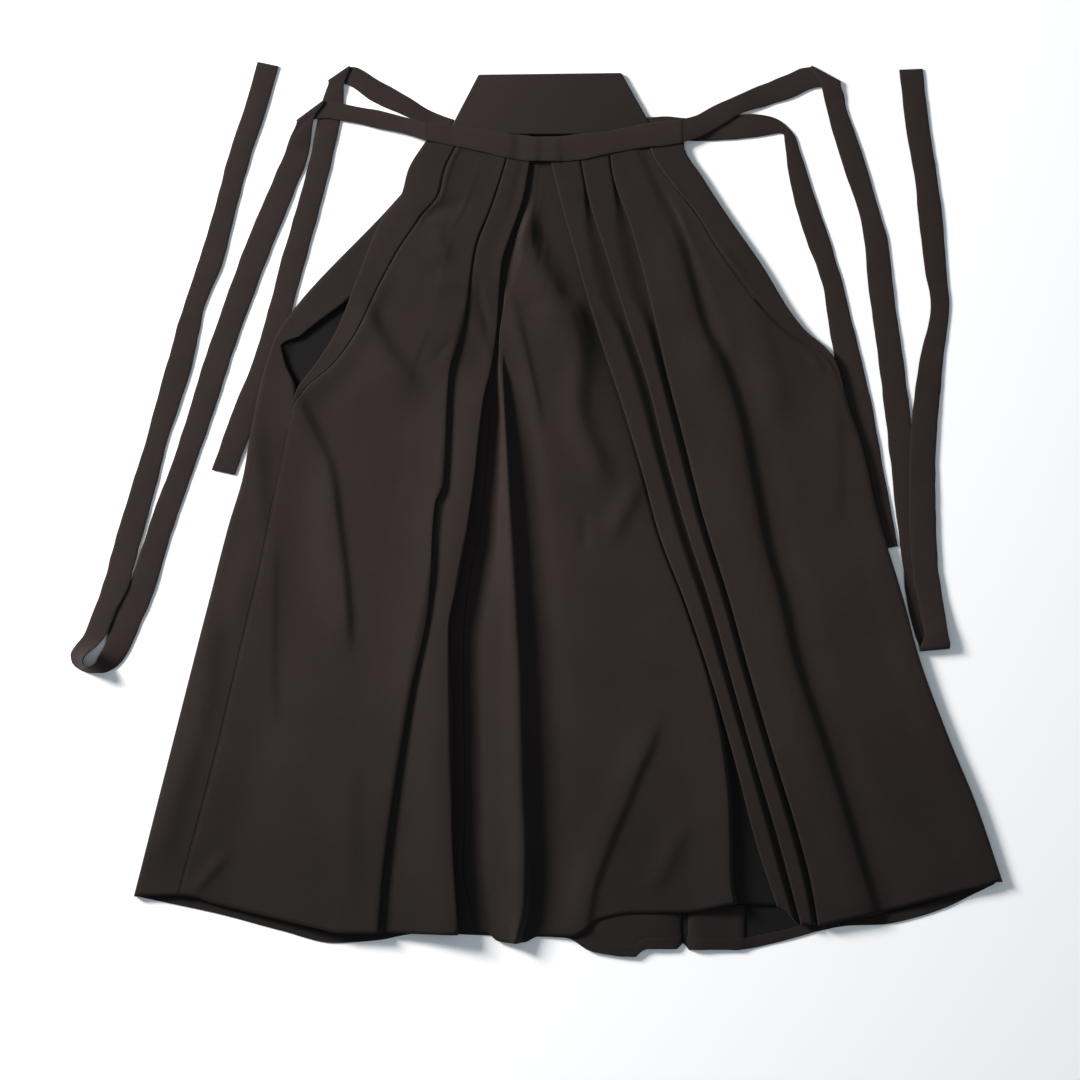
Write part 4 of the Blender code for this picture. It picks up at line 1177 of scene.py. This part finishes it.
def band(name, table, thickness=TIE, cloth=tie_cloth, slot=None):
    """A band of cloth. Without a slot it hides its own node and stands in its place; with a slot
    it leaves every node as it is.
    """
    edges = band_edges(table)
    steps = steps_along(edges.mean(axis=1))
    keys = running(steps)
    at = divided(keys, [max(1, int(round(step / BAND_STEP))) for step in steps])
    sides = [through(keys, edges[:, side], at) for side in (0, 1)]
    shares = np.linspace(0, 1, BAND_COLUMNS + 1)
    surface = np.stack([mix(*sides, share) for share in shares], axis=1)
    soften(surface, thickness)
    obj = cloth_grid("cloth_" + name, surface, (cloth,), thickness)
    edge = obj.modifiers.new("soft_edge", "BEVEL")
    edge.width = BAND_ROUND
    edge.segments = 2
    edge.limit_method = "ANGLE"
    edge.angle_limit = math.radians(BAND_ANGLE)
    if slot is None:
        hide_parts(name)
    width = np.linalg.norm(sides[0] - sides[1], axis=1).mean()
    print(name, "length", round(keys[-1]), "mean width", round(width, 1))


for name, table in BANDS.items():
    band(name, table)

# %% [markdown]
# ## Hem of the back
# The hem is turned up to the inside, so along the bottom the outer face of the cloth
# shows on the inner one. It is a narrow strip that follows the hem line, made with
# the same builder as the ties.

# %% Hem strips
HEM_TURN = 13.0  # width of the strip
HEM_CLOTH = 0.5  # its thickness
HEM_HEIGHT = 1.25  # of its middle, on a back that lies flat
HEM_IN = 0.4  # from the cloth's edge to the strip's
FOLD_TOP = -455.0  # where the wide fold ends, under the front
FOLD_HEIGHT = 1.6
HEM_ON_FOLD = 0.9  # from the middle of the folded cloth to the middle of the strip
HEM_RISE = (
    # across, rise at the hem, rise at the top of the fold
    (20, -1.6, -1.6), (36, -0.85, 0.0), (46, 0.2, 1.6), (62, 1.0, 2.8), (98, 1.7, 3.4),
    (140, 2.2, 3.5), (156, 1.8, 3.0), (165, 0.6, 1.0), (168, 0.0, 0.2), (174, 0.0, 0.2),
    (179, 1.2, 2.4), (188, 2.0, 3.2), (206, 1.2, 2.2), (226, 0.9, 2.0), (234, 1.1, 2.2),
    (241, -0.2, 0.2), (248, -0.85, 0.0), (256, -1.6, -1.6),
)
hem_rise, top_rise = table_curve(HEM_RISE), table_curve(HEM_RISE, 2)


def fold_heights(x):
    return FOLD_HEIGHT + float(hem_rise(x)), FOLD_HEIGHT + float(top_rise(x))


def hem_row(x):
    """The turned-up edge of the back, over the folds where there are any."""
    y = float(back_hem(x))
    low, high = fold_heights(x)
    upper = mix(low, high, HEM_TURN / (FOLD_TOP - y))
    heights = [max(HEM_HEIGHT, z + HEM_ON_FOLD) for z in (low, upper)]
    return (x, y + HEM_IN, x, y + HEM_TURN, *heights)


def fold_row(x):
    """Cloth of the back turned up wide, where the leg's hem lies folded."""
    return (x, float(back_hem(x)) + HEM_IN, x, FOLD_TOP, *fold_heights(x))


for name, leg, row_at, thickness, start, end, rows in (
    ("hem_right_back", "right_leg_back", hem_row, HEM_CLOTH, -452, 167, 80),
    ("hem_left_back", "left_leg_back", hem_row, HEM_CLOTH, 173.5, 527, 60),
    ("fold_right_back", "right_leg_back", fold_row, CLOTH, 42, 167, 30),
    ("fold_left_back", "left_leg_back", fold_row, CLOTH, 174.5, 240, 20),
):
    table = [row_at(x) for x in np.linspace(start, end, rows)]
    band(name, table, thickness, panel_cloth, leg)

# %% [markdown]
# ## Koshi-ita
# The board at the back of the waist is card wrapped in the trousers' cloth. It keeps
# the solid's shape, with rounder edges, so it starts from its four corners, is
# extruded, and its edges are bevelled.

# %% Koshi-ita
BOARD_CORNERS = ((-102, 430), (138, 430), (98, 501), (-66, 499))
BOARD = 5.0  # thickness
BOARD_EDGE = 1.9  # rounding
board_mesh = bmesh.new()
corners = [board_mesh.verts.new((x * MM, y * MM, 0)) for x, y in BOARD_CORNERS]
base = board_mesh.faces.new(corners)
raised = bmesh.ops.extrude_face_region(board_mesh, geom=[base])
upper = [item for item in raised["geom"] if isinstance(item, bmesh.types.BMVert)]
bmesh.ops.translate(board_mesh, verts=upper, vec=(0, 0, BOARD * MM))
bmesh.ops.recalc_face_normals(board_mesh, faces=board_mesh.faces)
rounded = [e for e in board_mesh.edges if any(v.co.z > 0 for v in e.verts)]
bmesh.ops.bevel(
    board_mesh, geom=rounded, offset=BOARD_EDGE * MM, segments=4, profile=0.5,
    affect="EDGES", material=-1,
)
board_uv = board_mesh.loops.layers.uv.new("cloth")
for face in board_mesh.faces:
    face.smooth = True
    for loop in face.loops:
        loop[board_uv].uv = (loop.vert.co.x, loop.vert.co.y - loop.vert.co.z)
board = finished("cloth_koshi_ita", board_mesh, (board_cloth,))
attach(board, "root")
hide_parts("koshi_ita")
print("board", len(board.data.polygons), "faces")
